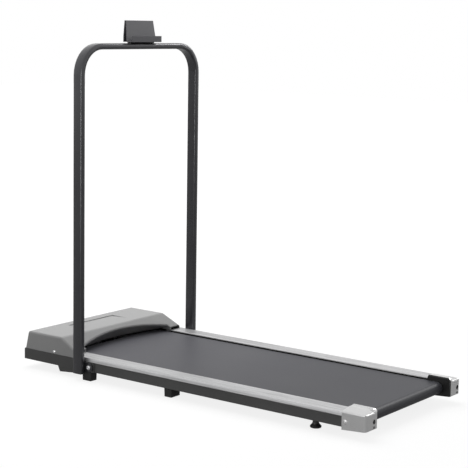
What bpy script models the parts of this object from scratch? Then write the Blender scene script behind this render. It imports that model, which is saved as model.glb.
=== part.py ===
"""Folding treadmill with a U handrail, built from its separate pieces.

Metres, +Z up, +Y towards the motor end, +X to the right of someone walking on the belt.
The origin is on the floor, under the middle of the bounding box.
"""
import math

import bmesh
import bpy
from mathutils import Matrix, Vector

# Overall sizes
LENGTH = 1.200
DECK_WIDTH = 0.490
FOOT_HEIGHT = 0.026
GAP = 0.0003
RUNNING_GAP = 0.0004
BOLT_CLEARANCE = 0.0003
CUT_PAST = 0.001
BEYOND = 0.05

# Steel side frames and cross members
SIDE_TUBE_WIDTH = 0.025
SIDE_TUBE_HEIGHT = 0.029
TUBE_WALL = 0.0015
TUBE_CORNER = 0.003
SIDE_TUBE_START = 0.052
CROSS_TUBE_LENGTHWAYS = 0.030
CROSS_TUBE_HEIGHT = 0.011
REAR_CROSS_PLACE = 0.130
FRONT_CROSS_BEHIND_TRAY = 0.091

# Aluminium side rails
RAIL_TOP = 0.068
RAIL_WIDTH = 0.048
RAIL_SKIRT = 0.012
RAIL_WALL = 0.0018
RAIL_LIP = 0.004
RAIL_EDGE = 0.0025
RAIL_INNER_EDGE = 0.0015
RAIL_SKIRT_CLEARANCE = 0.0007
RAIL_WEB_INSET = 0.008
RAIL_GROOVE_DEPTH = 0.0006
RAIL_GROOVES = 5
RAIL_GROOVE_WIDTH = 0.003
RAIL_PLAIN_EDGE = 0.007

# Running belt, rollers and deck
BELT_TOP = 0.062
BELT_SIDE_SPACE = 0.007
BELT_THICKNESS = 0.0018
BELT_STEPS = 12
ROLLER_RADIUS = 0.0142
REAR_ROLLER_PLACE = 0.040
FRONT_ROLLER_IN_TRAY = 0.056
ROLLER_SHORTER_THAN_BELT = 0.006
ROLLER_WALL = 0.0025
ROLLER_CROWN = 0.0004
BEARING_WIDTH = 0.008
BEARING_INSET = 0.001
AXLE_RADIUS = 0.006
DECK_THICKNESS = 0.012
DECK_END_SPACE = 0.004
DECK_NOTCH_CLEARANCE = 0.003
PAD_THICKNESS = 0.003
PAD_SIZE = (0.024, 0.016)
PAD_INSET = 0.095
PAD_EDGE = 0.0006

# Rear end caps and the belt's tension bolts
CAP_LENGTH = 0.073
CAP_WIDTH = 0.053
CAP_PROUD = 0.0005
CAP_WALL = 0.0025
CAP_FRONT_BOTTOM = 0.0205
CAP_REAR_BOTTOM = 0.0255
CAP_BOTTOM_ROUND = 0.003
CAP_RIB_HEIGHT = 0.010
CAP_RIB_WIDTH = 0.011
CAP_SHOULDER_HEIGHT = 0.0085
CAP_SHOULDER_WIDTH = 0.024
CAP_FRONT_SLOPE = 0.004
CAP_REAR_SLOPE = 0.021
CAP_RIB_ROUND = 0.012
CAP_CORNER = 0.005
CAP_UPRIGHT_ROUND = 0.009
CAP_INNER_ROUND = 0.004
CAP_AXLE_CLEARANCE = 0.0006
CAP_SCREW_HEIGHT = 0.031
CAP_SCREW_HOLE = 0.0038
CAP_HEAD_CLEARANCE = 0.0012
TENSION_BOLT_RADIUS = 0.003
TENSION_BOLT_LENGTH = 0.044
TENSION_HEAD_RADIUS = 0.005
TENSION_HEAD_LENGTH = 0.006
TENSION_SOCKET_DEPTH = 0.003
TENSION_BOLT_INSETS = (0.037, 0.015)
TENSION_PLATE = 0.003
TENSION_PLATE_PLACE = 0.014
TENSION_PLATE_MARGIN = 0.010
TENSION_ARM_END = 0.100
TENSION_ARM_LIFT = 0.008
TENSION_SLOT_TRAVEL = 0.008

# Motor tray, cover and belt lip
TRAY_LENGTH = 0.204
TRAY_RIM = 0.058
TRAY_FRONT_LEAN = 0.002
TRAY_WALL = 0.0025
TRAY_WELL_BOTTOM = 0.0095
TRAY_WELL_REAR_BOTTOM = 0.0145
TRAY_WELL_SLOPE = 0.008
TRAY_SLOPE_SHIFT = 0.45
TRAY_SILL = 0.0255
TRAY_CORNER = 0.003
TRAY_BRACKET_CLEARANCE = 0.003
COVER_TOP = 0.108
COVER_INSET = 0.0015
COVER_FRONT_INSET = 0.0005
COVER_SIDE_DRAFT = 0.0100
COVER_FRONT_DRAFT = 0.0025
COVER_SLOPE_LENGTH = 0.062
COVER_SLOPE_FOOT = 0.077
COVER_ROUND = 0.006
COVER_LEG_WIDTH = 0.0495
COVER_ARCH_FROM_BACK = 0.013
COVER_ARCH_RISE = 0.033
COVER_ARCH_STEPS = 24
COVER_WALL = 0.0025
RECESS_INSET = 0.146
RECESS_FROM_FRONT = 0.043
RECESS_FROM_CREASE = 0.038
RECESS_DEPTH = 0.0015
LIP_BELOW_SURFACE = 0.0005
LIP_THICKNESS = 0.003
LIP_BOTTOM = 0.068
LIP_REACH = 0.020
LIP_UPRIGHT = 0.0035

# Drive: front brackets, motor, pulleys, drive belt and controller
FRONT_BRACKET_THICKNESS = 0.003
FRONT_BRACKET_BEHIND_TRAY = 0.041
FRONT_BRACKET_IN_TRAY = 0.169
BRACKET_WELL_BOTTOM = 0.020
BRACKET_ARM_TOP = 0.045
BRACKET_STEP = 0.004
BRACKET_EAR = 0.010
PULLEY_WIDTH = 0.012
PULLEY_FROM_BELT = 0.006
ROLLER_PULLEY_RADIUS = 0.0150
ROLLER_PULLEY_HUB = 0.013
MOTOR_PULLEY_RADIUS = 0.0085
MOTOR_PULLEY_HUB = 0.008
MOTOR_PULLEY_HUB_LENGTH = 0.006
PULLEY_FLANGE = 0.0018
DRIVE_BELT_WIDTH = 0.009
DRIVE_BELT_THICKNESS = 0.0016
MOTOR_RADIUS = 0.033
MOTOR_LENGTH = 0.120
MOTOR_IN_TRAY = 0.122
MOTOR_ABOVE_FLOOR = 0.0085
MOTOR_FROM_PULLEY = 0.044
MOTOR_END_COVER = 0.016
MOTOR_STEP = 0.0015
MOTOR_BOSS_RADIUS = 0.012
MOTOR_BOSS_LENGTH = 0.004
MOTOR_SHAFT_RADIUS = 0.004
MOTOR_SHAFT_BORE = 0.012
MOTOR_SHAFT_PAST_PULLEY = 0.002
CRADLE_THICKNESS = 0.002
CRADLE_LENGTH = 0.086
CRADLE_SPAN = 130
CRADLE_STEPS = 12
CRADLE_FOOT = 0.006
CONTROLLER_SIZE = (0.110, 0.062, 0.030)
CONTROLLER_INSET = 0.160
CONTROLLER_IN_TRAY = 0.119
CONTROLLER_EDGE = 0.002
HEATSINK_FINS = 8
HEATSINK_MARGIN = 0.005
HEATSINK_FIN = (0.002, 0.012)

# Mains inlet and switch in the tray's front wall
INLET_INSET = 0.121
INLET_SIZE = (0.030, 0.022)
INLET_DEPTH = 0.019
INLET_WALL = 0.002
INLET_BLADE = (0.002, 0.008, 0.004)
INLET_BLADE_PLACES = ((-0.007, -0.0015), (0.007, -0.0015), (0.0, 0.002))
SWITCH_INSET = 0.161
SWITCH_SIZE = (0.021, 0.015)
SWITCH_ROCK = 9.0
SWITCH_DEPTH = 0.012
SWITCH_WALL = 0.0015
ROCKER_HALF_HEIGHT = 0.0036
ROCKER_REACH = 0.0042
ROCKER_BACK = 0.0025
ROCKER_STEP = 0.001
ROCKER_DISH = 0.0006
PANEL_PART_PROUD = 0.0007
PANEL_PART_PAST_TRAY = 0.0004
PANEL_RIM = 0.0015

# Wheels and feet
WHEEL_RADIUS = 0.018
WHEEL_WIDTH = 0.016
WHEEL_FLOOR_GAP = 0.015
WHEEL_FROM_FRONT = 0.028
WHEEL_INSET = 0.077
WHEEL_AXLE_RADIUS = 0.003
WHEEL_SPACE = 0.003
WHEEL_POCKET_WALL = 0.002
WHEEL_DISH = 0.003
WHEEL_EDGE = 0.0015
FRONT_FOOT_SIZE = (0.027, 0.033)
FRONT_FOOT_PAST_PIVOT = 0.0105
FRONT_FOOT_INSET = -0.0025
MIDDLE_FOOT_SIZE = (0.039, 0.0265)
MIDDLE_FOOT_PLACE = 0.6500
MIDDLE_FOOT_INSET = 0.011
FOOT_TAPER = 0.0006
FOOT_EDGE = 0.0008
FOOT_CORNER = 0.0012
LEVELLER_PLACE = 0.1735
LEVELLER_INSET = 0.035
LEVELLER_BASE_RADIUS = 0.0150
LEVELLER_BASE_HEIGHT = 0.0045
LEVELLER_BASE_EDGE = 0.001
LEVELLER_SHOULDER = 0.009
LEVELLER_NECK_START = 0.013
LEVELLER_NECK_RADIUS = 0.0085
LEVELLER_NECK_FLARE = 0.002
LEVELLER_STEM_RADIUS = 0.004
LEVELLER_STEM_TOP = 0.040
LEVELLER_LUG = (0.036, 0.003)
LEVELLER_LUG_LIFT = 0.0005
LEVELLER_LUG_SHIFT = 0.004

# Handrail, its hinge and the phone holder
HANDRAIL_HEIGHT = 0.970
HANDRAIL_SIDE_CLEARANCE = 0.004
HANDRAIL_TUBE = (0.0175, 0.0335)
HANDRAIL_TUBE_WALL = 0.0015
HANDRAIL_TUBE_ROUND = 0.005
HANDRAIL_ROUND_STEPS = 3
HANDRAIL_BEND = 0.081
HANDRAIL_BEND_STEPS = 9
HANDRAIL_FOOT = 0.0205
HANDRAIL_BEHIND_TRAY = 0.0315
PIVOT_BEHIND_TRAY = 0.063
PIVOT_HEIGHT = 0.0402
PIVOT_BOLT_RADIUS = 0.004
PIVOT_HEAD_RADIUS = 0.0072
PIVOT_HEAD_LENGTH = 0.0045
PIVOT_SOCKET_DEPTH = 0.003
PIVOT_BOLT_REACH = 0.020
BRACKET_THICKNESS = 0.0025
BRACKET_BEHIND_PIVOT = 0.0155
BRACKET_BEHIND_TRAY = 0.012
BRACKET_CORNER = 0.004
LUG_RADIUS = 0.0135
LUG_STEPS = 12
HOLDER_WIDTH = 0.130
HOLDER_TOP_WIDTH = 0.122
HOLDER_SHEET = 0.0025
HOLDER_RISE = 0.0665
HOLDER_LEG_OFFSET = 0.0055
HOLDER_RIDGE = 0.004
HOLDER_RIDGE_OFFSET = 0.0025
HOLDER_PLATE_FOOT_OFFSET = -0.0075
HOLDER_LIP_OFFSET = -0.031
HOLDER_LIP_HEIGHT = 0.018
HOLDER_SEAT = (0.098, 0.021, 0.003)
HOLDER_SEAT_OFFSET = -0.0055
HOLDER_SEAT_EDGE = 0.001

# Values worked out from the sizes above
HALF_WIDTH = DECK_WIDTH / 2
TRAY_START = LENGTH - TRAY_LENGTH
TRAY_FRONT = LENGTH - PANEL_PART_PAST_TRAY
TUBE_OUTER = HALF_WIDTH - RAIL_WALL - RAIL_SKIRT_CLEARANCE
TUBE_INNER = TUBE_OUTER - SIDE_TUBE_WIDTH
TUBE_TOP = FOOT_HEIGHT + SIDE_TUBE_HEIGHT
WELD = TUBE_WALL / 2
FRONT_CROSS_PLACE = TRAY_START - FRONT_CROSS_BEHIND_TRAY
MIDDLE_CROSS_PLACE = (REAR_CROSS_PLACE + FRONT_CROSS_PLACE) / 2
BELT_HALF = HALF_WIDTH - RAIL_WIDTH - BELT_SIDE_SPACE
DECK_TOP = BELT_TOP - BELT_THICKNESS - GAP
DECK_BOTTOM = DECK_TOP - DECK_THICKNESS
CROSS_TUBE_TOP = DECK_BOTTOM - PAD_THICKNESS - 2 * GAP
FRONT_BRACKET_OUTER = TUBE_INNER - GAP
FRONT_BRACKET_INNER = FRONT_BRACKET_OUTER - FRONT_BRACKET_THICKNESS
DECK_HALF = FRONT_BRACKET_INNER - GAP
FRONT_ROLLER_PLACE = TRAY_START + FRONT_ROLLER_IN_TRAY
ROLLER_HEIGHT = BELT_TOP - BELT_THICKNESS - GAP - ROLLER_RADIUS
ROLLER_HALF = BELT_HALF - ROLLER_SHORTER_THAN_BELT / 2
CAP_OUTER_EDGE = HALF_WIDTH + CAP_PROUD
CAP_INNER_EDGE = HALF_WIDTH - CAP_WIDTH
TRAY_INSIDE_FLOOR = FOOT_HEIGHT + TRAY_WALL
COVER_BASE = TRAY_RIM + GAP
COVER_HALF = HALF_WIDTH - COVER_INSET
COVER_CREASE = TRAY_START + COVER_SLOPE_LENGTH
COVER_SLOPE = (COVER_TOP - COVER_SLOPE_FOOT) / COVER_SLOPE_LENGTH
COVER_ARCH_SIDE = TRAY_START + COVER_ARCH_FROM_BACK
OPENING_HALF = HALF_WIDTH - COVER_LEG_WIDTH
ARCH_RADIUS = (OPENING_HALF ** 2 + COVER_ARCH_RISE ** 2) / (2 * COVER_ARCH_RISE)
PULLEY_X = BELT_HALF + PULLEY_FROM_BELT
MOTOR_PLACE = TRAY_START + MOTOR_IN_TRAY
CONTROLLER_X = CONTROLLER_INSET - HALF_WIDTH
INLET_CENTRE_X = INLET_INSET - HALF_WIDTH
SWITCH_CENTRE_X = SWITCH_INSET - HALF_WIDTH
MOTOR_HEIGHT = TRAY_INSIDE_FLOOR + MOTOR_ABOVE_FLOOR + GAP + MOTOR_RADIUS
WHEEL_PLACE = LENGTH - WHEEL_FROM_FRONT
WHEEL_HEIGHT = WHEEL_FLOOR_GAP + WHEEL_RADIUS
WHEEL_OFFSET = HALF_WIDTH - WHEEL_INSET
LEVELLER_X = HALF_WIDTH - LEVELLER_INSET
HANDRAIL_INNER = HALF_WIDTH + HANDRAIL_SIDE_CLEARANCE
HANDRAIL_HALF = HANDRAIL_INNER + HANDRAIL_TUBE[0] / 2
HANDRAIL_PLACE = TRAY_START - HANDRAIL_BEHIND_TRAY
BAR_MIDDLE = HANDRAIL_HEIGHT - HANDRAIL_TUBE[0] / 2
PIVOT_PLACE = TRAY_START - PIVOT_BEHIND_TRAY
BRACKET_OUTER = TUBE_OUTER + GAP + BRACKET_THICKNESS
LUG_INNER = BRACKET_OUTER + RUNNING_GAP
LUG_OUTER = HANDRAIL_INNER + HANDRAIL_TUBE_WALL / 2
STEEL_BLACK = ((0.030, 0.030, 0.032), 0.45, 0.0)
GREY_PLASTIC = ((0.36, 0.36, 0.37), 0.45, 0.0)
BLACK_PLASTIC = ((0.028, 0.028, 0.030), 0.55, 0.0)
RUBBER = ((0.018, 0.018, 0.018), 0.85, 0.0)
BELT_PVC = ((0.075, 0.077, 0.083), 0.60, 0.0)
ALUMINIUM = ((0.62, 0.62, 0.63), 0.35, 1.0)
BRIGHT_STEEL = ((0.70, 0.70, 0.70), 0.22, 1.0)
BOARD = ((0.024, 0.023, 0.022), 0.60, 0.0)


def place_y(from_rear):
    """World Y of a distance measured forwards from the rear face of the end caps."""
    return from_rear - LENGTH / 2


def finish_for(name, finish):
    """A Principled material for one sub-part from a colour, a roughness and a metallic value."""
    colour, roughness, metallic = finish
    material = bpy.data.materials.new(name + "_finish")
    material.use_nodes = True
    shader = material.node_tree.nodes["Principled BSDF"]
    shader.inputs["Base Color"].default_value = (*colour, 1.0)
    shader.inputs["Roughness"].default_value = roughness
    shader.inputs["Metallic"].default_value = metallic
    material.diffuse_color = (*colour, 1.0)
    return material


def object_from(bm, name, finish):
    """Close a bmesh into a named, smooth-shaded object with its own material."""
    bmesh.ops.remove_doubles(bm, verts=bm.verts, dist=0.00001)
    bmesh.ops.recalc_face_normals(bm, faces=bm.faces)
    mesh = bpy.data.meshes.new(name)
    bm.to_mesh(mesh)
    bm.free()
    mesh.shade_smooth()
    mesh.set_sharp_from_angle(angle=math.radians(35))
    made = bpy.data.objects.new(name, mesh)
    bpy.context.scene.collection.objects.link(made)
    if finish:
        mesh.materials.append(finish_for(name, finish))
    return made


def on_axis(axis, along, first, second):
    """A point from its distance along an axis and its two other coordinates, in X, Y, Z order."""
    spread = {"x": (along, first, second), "y": (first, along, second), "z": (first, second, along)}
    return Vector(spread[axis])


def prism(name, outline, axis, start, end, finish=None):
    """Extrude a flat outline along an axis. The outline gives the two other coordinates in order."""
    bm = bmesh.new()
    low = [bm.verts.new(on_axis(axis, start, a, b)) for a, b in outline]
    high = [bm.verts.new(on_axis(axis, end, a, b)) for a, b in outline]
    bm.faces.new(low)
    bm.faces.new(high)
    for i, vert in enumerate(low):
        follow = (i + 1) % len(low)
        bm.faces.new((vert, low[follow], high[follow], high[i]))
    return object_from(bm, name, finish)


def hollow_prism(name, outer, inner, axis, start, end, finish=None):
    """Extrude a ring between two outlines of equally many points, open at both ends."""
    bm = bmesh.new()
    rings = []
    for outline, along in ((outer, start), (outer, end), (inner, end), (inner, start)):
        rings.append([bm.verts.new(on_axis(axis, along, a, b)) for a, b in outline])
    for i in range(len(outer)):
        follow = (i + 1) % len(outer)
        for ring, beside in zip(rings, rings[1:] + rings[:1]):
            bm.faces.new((ring[i], ring[follow], beside[follow], beside[i]))
    return object_from(bm, name, finish)


def box(name, low, high, finish=None):
    """A box between two corners."""
    outline = ((low[0], low[1]), (high[0], low[1]), (high[0], high[1]), (low[0], high[1]))
    return prism(name, outline, "z", low[2], high[2], finish)


def turned(name, profile, axis, centre, steps, finish=None):
    """Spin a profile of (place along the axis, radius) about an axis through a centre.

    A profile that starts and ends on the axis makes a solid, and one that stays off it a ring.
    """
    first_axis, second_axis = [n for n in range(3) if n != "xyz".index(axis)]
    bm = bmesh.new()
    rings = []
    for along, radius in profile:
        if radius == 0:
            rings.append([bm.verts.new(on_axis(axis, along, centre[first_axis], centre[second_axis]))])
            continue
        ring = []
        for step in range(steps):
            turn = 2 * math.pi * (step + 0.5) / steps
            first = centre[first_axis] + radius * math.cos(turn)
            second = centre[second_axis] + radius * math.sin(turn)
            ring.append(bm.verts.new(on_axis(axis, along, first, second)))
        rings.append(ring)
    pairs = list(zip(rings, rings[1:]))
    if profile[0][1] > 0:
        pairs.append((rings[-1], rings[0]))
    for ring, beside in pairs:
        for step in range(steps):
            follow = (step + 1) % steps
            corners = [ring[step % len(ring)], ring[follow % len(ring)],
                       beside[follow % len(beside)], beside[step % len(beside)]]
            unique = list(dict.fromkeys(corners))
            bm.faces.new(unique)
    return object_from(bm, name, finish)


def cylinder(name, axis, centre, radius, start, end, steps=20, finish=None):
    """A plain round rod or hole cutter."""
    profile = ((start, 0), (start, radius), (end, radius), (end, 0))
    return turned(name, profile, axis, centre, steps, finish)


def combine(target, others, operation):
    """Join or cut one object with others, then take the others out of the scene."""
    for other in others:
        step = target.modifiers.new("join", "BOOLEAN")
        step.operation = operation
        step.solver = "EXACT"
        step.object = other
    bpy.context.view_layer.update()
    finished = target.evaluated_get(bpy.context.evaluated_depsgraph_get())
    old = target.data
    target.modifiers.clear()
    target.data = bpy.data.meshes.new_from_object(finished)
    target.data.name = target.name
    target.data.materials.clear()
    if old.materials:
        target.data.materials.append(old.materials[0])
    bpy.data.meshes.remove(old)
    for other in others:
        bpy.data.objects.remove(other)
    target.data.shade_smooth()
    target.data.set_sharp_from_angle(angle=math.radians(35))
    return target


def cut(target, *cutters):
    return combine(target, cutters, "DIFFERENCE")


def join(target, *others):
    return combine(target, others, "UNION")


def soften(target, width, steps=2, angle=40):
    """Round the edges that are sharper than an angle with a Bevel modifier."""
    bevel = target.modifiers.new("rounded_edges", "BEVEL")
    bevel.width = width
    bevel.segments = steps
    bevel.limit_method = "ANGLE"
    bevel.angle_limit = math.radians(angle)
    bevel.use_clamp_overlap = True
    bpy.context.view_layer.update()
    finished = target.evaluated_get(bpy.context.evaluated_depsgraph_get())
    old = target.data
    target.modifiers.clear()
    target.data = bpy.data.meshes.new_from_object(finished)
    target.data.name = target.name
    bpy.data.meshes.remove(old)
    return target


def fillet(points, radii, steps=3):
    """Round the corners of a flat outline. A radius of 0 keeps a corner sharp."""
    rounded = []
    for i, corner in enumerate(points):
        radius = radii[i] if isinstance(radii, (list, tuple)) else radii
        here = Vector(corner)
        back = Vector(points[i - 1]) - here
        ahead = Vector(points[(i + 1) % len(points)]) - here
        if radius == 0:
            rounded.append(tuple(here))
            continue
        back.normalize()
        ahead.normalize()
        half = back.angle(ahead) / 2
        middle = here + (back + ahead).normalized() * (radius / math.sin(half))
        start = here + back * (radius / math.tan(half)) - middle
        end = here + ahead * (radius / math.tan(half)) - middle
        first_angle = math.atan2(start.y, start.x)
        sweep = math.remainder(math.atan2(end.y, end.x) - first_angle, 2 * math.pi)
        for step in range(steps + 1):
            angle = first_angle + sweep * step / steps
            rounded.append((middle.x + radius * math.cos(angle), middle.y + radius * math.sin(angle)))
    return rounded


def rectangle(low, high, radius=0.0, steps=3):
    """A flat rectangle between two corners, with its corners rounded."""
    corners = [(low[0], low[1]), (high[0], low[1]), (high[0], high[1]), (low[0], high[1])]
    return fillet(corners, radius, steps) if radius else corners


def set_origin(target, point):
    """Move an object's origin to a point, with its mesh left where it is."""
    point = Vector(point)
    target.data.transform(Matrix.Translation(-point))
    target.location = point
    return target


def named(side, what):
    return what + ("_right" if side > 0 else "_left")


def tension_x(side):
    """Place across the machine of a tension bolt, which the two sides have in different places."""
    return side * (HALF_WIDTH - TENSION_BOLT_INSETS[0 if side < 0 else 1])


def side_frame(side):
    """A rectangular steel tube with its hinge hole, a nut lug for the foot and a rear bracket."""
    inner_x = side * TUBE_INNER
    outer_x = side * TUBE_OUTER
    low_x, high_x = sorted((inner_x, outer_x))
    start = place_y(SIDE_TUBE_START)
    end = place_y(TRAY_START) - GAP
    outer = rectangle((low_x, FOOT_HEIGHT), (high_x, TUBE_TOP), TUBE_CORNER, 2)
    inner = rectangle((low_x + TUBE_WALL, FOOT_HEIGHT + TUBE_WALL),
                      (high_x - TUBE_WALL, TUBE_TOP - TUBE_WALL), TUBE_CORNER - TUBE_WALL, 2)
    frame = hollow_prism(named(side, "side_frame"), outer, inner, "y", start, end, STEEL_BLACK)

    lug_depth, lug_thickness = LEVELLER_LUG
    lug_x = sorted((inner_x + side * WELD, side * (LEVELLER_X + LEVELLER_LUG_SHIFT - lug_depth / 2)))
    lug_y = place_y(LEVELLER_PLACE)
    lug_base = FOOT_HEIGHT + LEVELLER_LUG_LIFT
    lug = box("lug", (lug_x[0], lug_y - lug_depth / 2, lug_base),
              (lug_x[1], lug_y + lug_depth / 2, lug_base + lug_thickness))
    arm_x = sorted((inner_x + side * WELD, side * (TUBE_INNER - TENSION_PLATE)))
    plate_low = FOOT_HEIGHT + TENSION_ARM_LIFT
    plate_high = TUBE_TOP - TUBE_CORNER
    plate_end = place_y(TENSION_PLATE_PLACE)
    arm = box("arm", (arm_x[0], plate_end, plate_low), (arm_x[1], place_y(TENSION_ARM_END), plate_high))
    bolt_x = tension_x(side)
    arm_middle = (arm_x[0] + arm_x[1]) / 2
    outwards = math.copysign(1, bolt_x - arm_middle)
    end_x = sorted((arm_middle, bolt_x + outwards * TENSION_PLATE_MARGIN))
    end_plate = box("end_plate", (end_x[0], plate_end, plate_low),
                    (end_x[1], plate_end + TENSION_PLATE, plate_high))
    join(frame, lug, arm, end_plate)

    pivot = (0, place_y(PIVOT_PLACE), PIVOT_HEIGHT)
    middle_x = (TUBE_INNER + TUBE_OUTER) / 2
    pivot_hole = cylinder("pivot_hole", "x", pivot, PIVOT_BOLT_RADIUS + BOLT_CLEARANCE,
                          *sorted((side * middle_x, side * (TUBE_OUTER + CUT_PAST))))
    stem_hole = cylinder("stem_hole", "z", (side * LEVELLER_X, lug_y, 0),
                         LEVELLER_STEM_RADIUS + BOLT_CLEARANCE, lug_base - CUT_PAST,
                         lug_base + lug_thickness + CUT_PAST)
    bolt_hole = cylinder("bolt_hole", "y", (bolt_x, 0, ROLLER_HEIGHT), TENSION_BOLT_RADIUS + BOLT_CLEARANCE,
                         plate_end - CUT_PAST, plate_end + TENSION_PLATE + CUT_PAST)
    slot_radius = AXLE_RADIUS + BOLT_CLEARANCE
    slot_half = slot_radius + TENSION_SLOT_TRAVEL / 2
    slot_y = place_y(REAR_ROLLER_PLACE)
    slot = box("slot", (arm_x[0] - CUT_PAST, slot_y - slot_half, ROLLER_HEIGHT - slot_radius),
               (arm_x[1] + CUT_PAST, slot_y + slot_half, ROLLER_HEIGHT + slot_radius))
    return cut(frame, pivot_hole, stem_hole, bolt_hole, slot)


def cross_member(name, from_rear):
    """A flat steel tube across the frame, between the two runs of the belt."""
    middle = place_y(from_rear)
    half = CROSS_TUBE_LENGTHWAYS / 2
    reach = TUBE_INNER - GAP
    bottom = CROSS_TUBE_TOP - CROSS_TUBE_HEIGHT
    outer = rectangle((middle - half, bottom), (middle + half, CROSS_TUBE_TOP), TUBE_CORNER, 2)
    inner = rectangle((middle - half + TUBE_WALL, bottom + TUBE_WALL),
                      (middle + half - TUBE_WALL, CROSS_TUBE_TOP - TUBE_WALL), TUBE_CORNER - TUBE_WALL, 2)
    return hollow_prism(name, outer, inner, "x", -reach, reach, STEEL_BLACK)


def deck_pad(side, place_name, from_rear):
    """A small rubber cushion between a cross member and the deck board."""
    width, depth = PAD_SIZE
    x = side * (HALF_WIDTH - PAD_INSET)
    y = place_y(from_rear)
    pad = box(named(side, place_name + "_deck_pad"), (x - width / 2, y - depth / 2, CROSS_TUBE_TOP + GAP),
              (x + width / 2, y + depth / 2, CROSS_TUBE_TOP + GAP + PAD_THICKNESS), RUBBER)
    return soften(pad, PAD_EDGE, 1)


def deck_board():
    """The board under the belt, notched at its corners for the end caps and the cover's legs."""
    notch_x = CAP_INNER_EDGE - DECK_NOTCH_CLEARANCE
    roller_space = ROLLER_RADIUS + BELT_THICKNESS + DECK_END_SPACE
    back = place_y(REAR_ROLLER_PLACE) + roller_space
    notch_y = place_y(CAP_LENGTH) + GAP
    front_notch_y = place_y(TRAY_START) - GAP
    front = place_y(FRONT_ROLLER_PLACE) - roller_space
    outline = ((-notch_x, back), (notch_x, back), (notch_x, notch_y), (DECK_HALF, notch_y),
               (DECK_HALF, front_notch_y), (notch_x, front_notch_y), (notch_x, front), (-notch_x, front),
               (-notch_x, front_notch_y), (-DECK_HALF, front_notch_y), (-DECK_HALF, notch_y),
               (-notch_x, notch_y))
    return prism("deck_board", outline, "z", DECK_BOTTOM, DECK_TOP, BOARD)


def belt_loop(name, first, last, thickness, start, end, finish):
    """An endless belt round two wheels, each given as (Y, Z, radius)."""
    first_middle = Vector(first[:2])
    last_middle = Vector(last[:2])
    between = last_middle - first_middle
    lean = math.atan2(between.y, between.x)
    spread = math.asin((last[2] - first[2]) / between.length)
    half_turn = math.pi / 2
    loops = []
    for extra in (GAP + thickness, GAP):
        loop = []
        for middle, radius, begin, finish_at in (
                (first_middle, first[2] + extra, half_turn + spread, 3 * half_turn - spread),
                (last_middle, last[2] + extra, -half_turn - spread, half_turn + spread)):
            for step in range(BELT_STEPS + 1):
                angle = lean + begin + (finish_at - begin) * step / BELT_STEPS
                loop.append((middle.x + radius * math.cos(angle), middle.y + radius * math.sin(angle)))
        loops.append(loop)
    return hollow_prism(name, loops[0], loops[1], "x", start, end, finish)


def roller(name, centre):
    """A steel roller tube with a slight crown that keeps the belt in the middle."""
    inside = ROLLER_RADIUS - ROLLER_WALL
    edge = ROLLER_RADIUS - ROLLER_CROWN
    quarter = ROLLER_RADIUS - ROLLER_CROWN / 4
    profile = ((-ROLLER_HALF, inside), (-ROLLER_HALF, edge), (-ROLLER_HALF / 2, quarter), (0, ROLLER_RADIUS),
               (ROLLER_HALF / 2, quarter), (ROLLER_HALF, edge), (ROLLER_HALF, inside))
    made = turned(name, profile, "x", centre, 24, BRIGHT_STEEL)
    return set_origin(made, centre)


def roller_bearing(side, roller_name, centre):
    """A ball bearing pressed into one end of a roller, shown as its closed ring."""
    outer = ROLLER_RADIUS - ROLLER_WALL - GAP
    inner = AXLE_RADIUS + GAP
    outer_end = side * (ROLLER_HALF - BEARING_INSET)
    start, end = sorted((outer_end, outer_end - side * BEARING_WIDTH))
    profile = ((start, inner), (start, outer), (end, outer), (end, inner))
    made = turned(named(side, roller_name + "_bearing"), profile, "x", centre, 20, BRIGHT_STEEL)
    return set_origin(made, centre)


def rear_axle(centre):
    """The fixed rear axle, cross-drilled at both ends for the tension bolts."""
    left = -(TUBE_INNER - TENSION_PLATE + WELD)
    right = tension_x(1) + 2 * TENSION_BOLT_RADIUS
    axle = cylinder("rear_roller_axle", "x", centre, AXLE_RADIUS, left, right, 20, BRIGHT_STEEL)
    holes = []
    for side in (-1, 1):
        holes.append(cylinder("hole", "y", (tension_x(side), 0, ROLLER_HEIGHT),
                              TENSION_BOLT_RADIUS + BOLT_CLEARANCE,
                              centre[1] - 2 * AXLE_RADIUS, centre[1] + 2 * AXLE_RADIUS, 16))
    return cut(axle, *holes)


def front_axle(centre):
    """The fixed front axle, held in the two front brackets."""
    reach = FRONT_BRACKET_OUTER - RUNNING_GAP
    return cylinder("front_roller_axle", "x", centre, AXLE_RADIUS, -reach, reach, 20, BRIGHT_STEEL)


def tension_bolt(side):
    """A socket-head bolt that pulls one end of the rear axle back to tighten the belt."""
    centre = (tension_x(side), 0, ROLLER_HEIGHT)
    shoulder = place_y(TENSION_PLATE_PLACE) - GAP
    head = shoulder - TENSION_HEAD_LENGTH
    socket = TENSION_HEAD_RADIUS / 2
    edge = TENSION_HEAD_RADIUS / 10
    profile = ((head + TENSION_SOCKET_DEPTH, 0), (head + TENSION_SOCKET_DEPTH, socket), (head, socket),
               (head, TENSION_HEAD_RADIUS - edge), (head + edge, TENSION_HEAD_RADIUS),
               (shoulder, TENSION_HEAD_RADIUS), (shoulder, TENSION_BOLT_RADIUS),
               (shoulder + TENSION_BOLT_LENGTH, TENSION_BOLT_RADIUS), (shoulder + TENSION_BOLT_LENGTH, 0))
    made = turned(named(side, "tension_bolt"), profile, "y", centre, 18, BRIGHT_STEEL)
    return set_origin(made, (centre[0], head, centre[2]))


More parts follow.
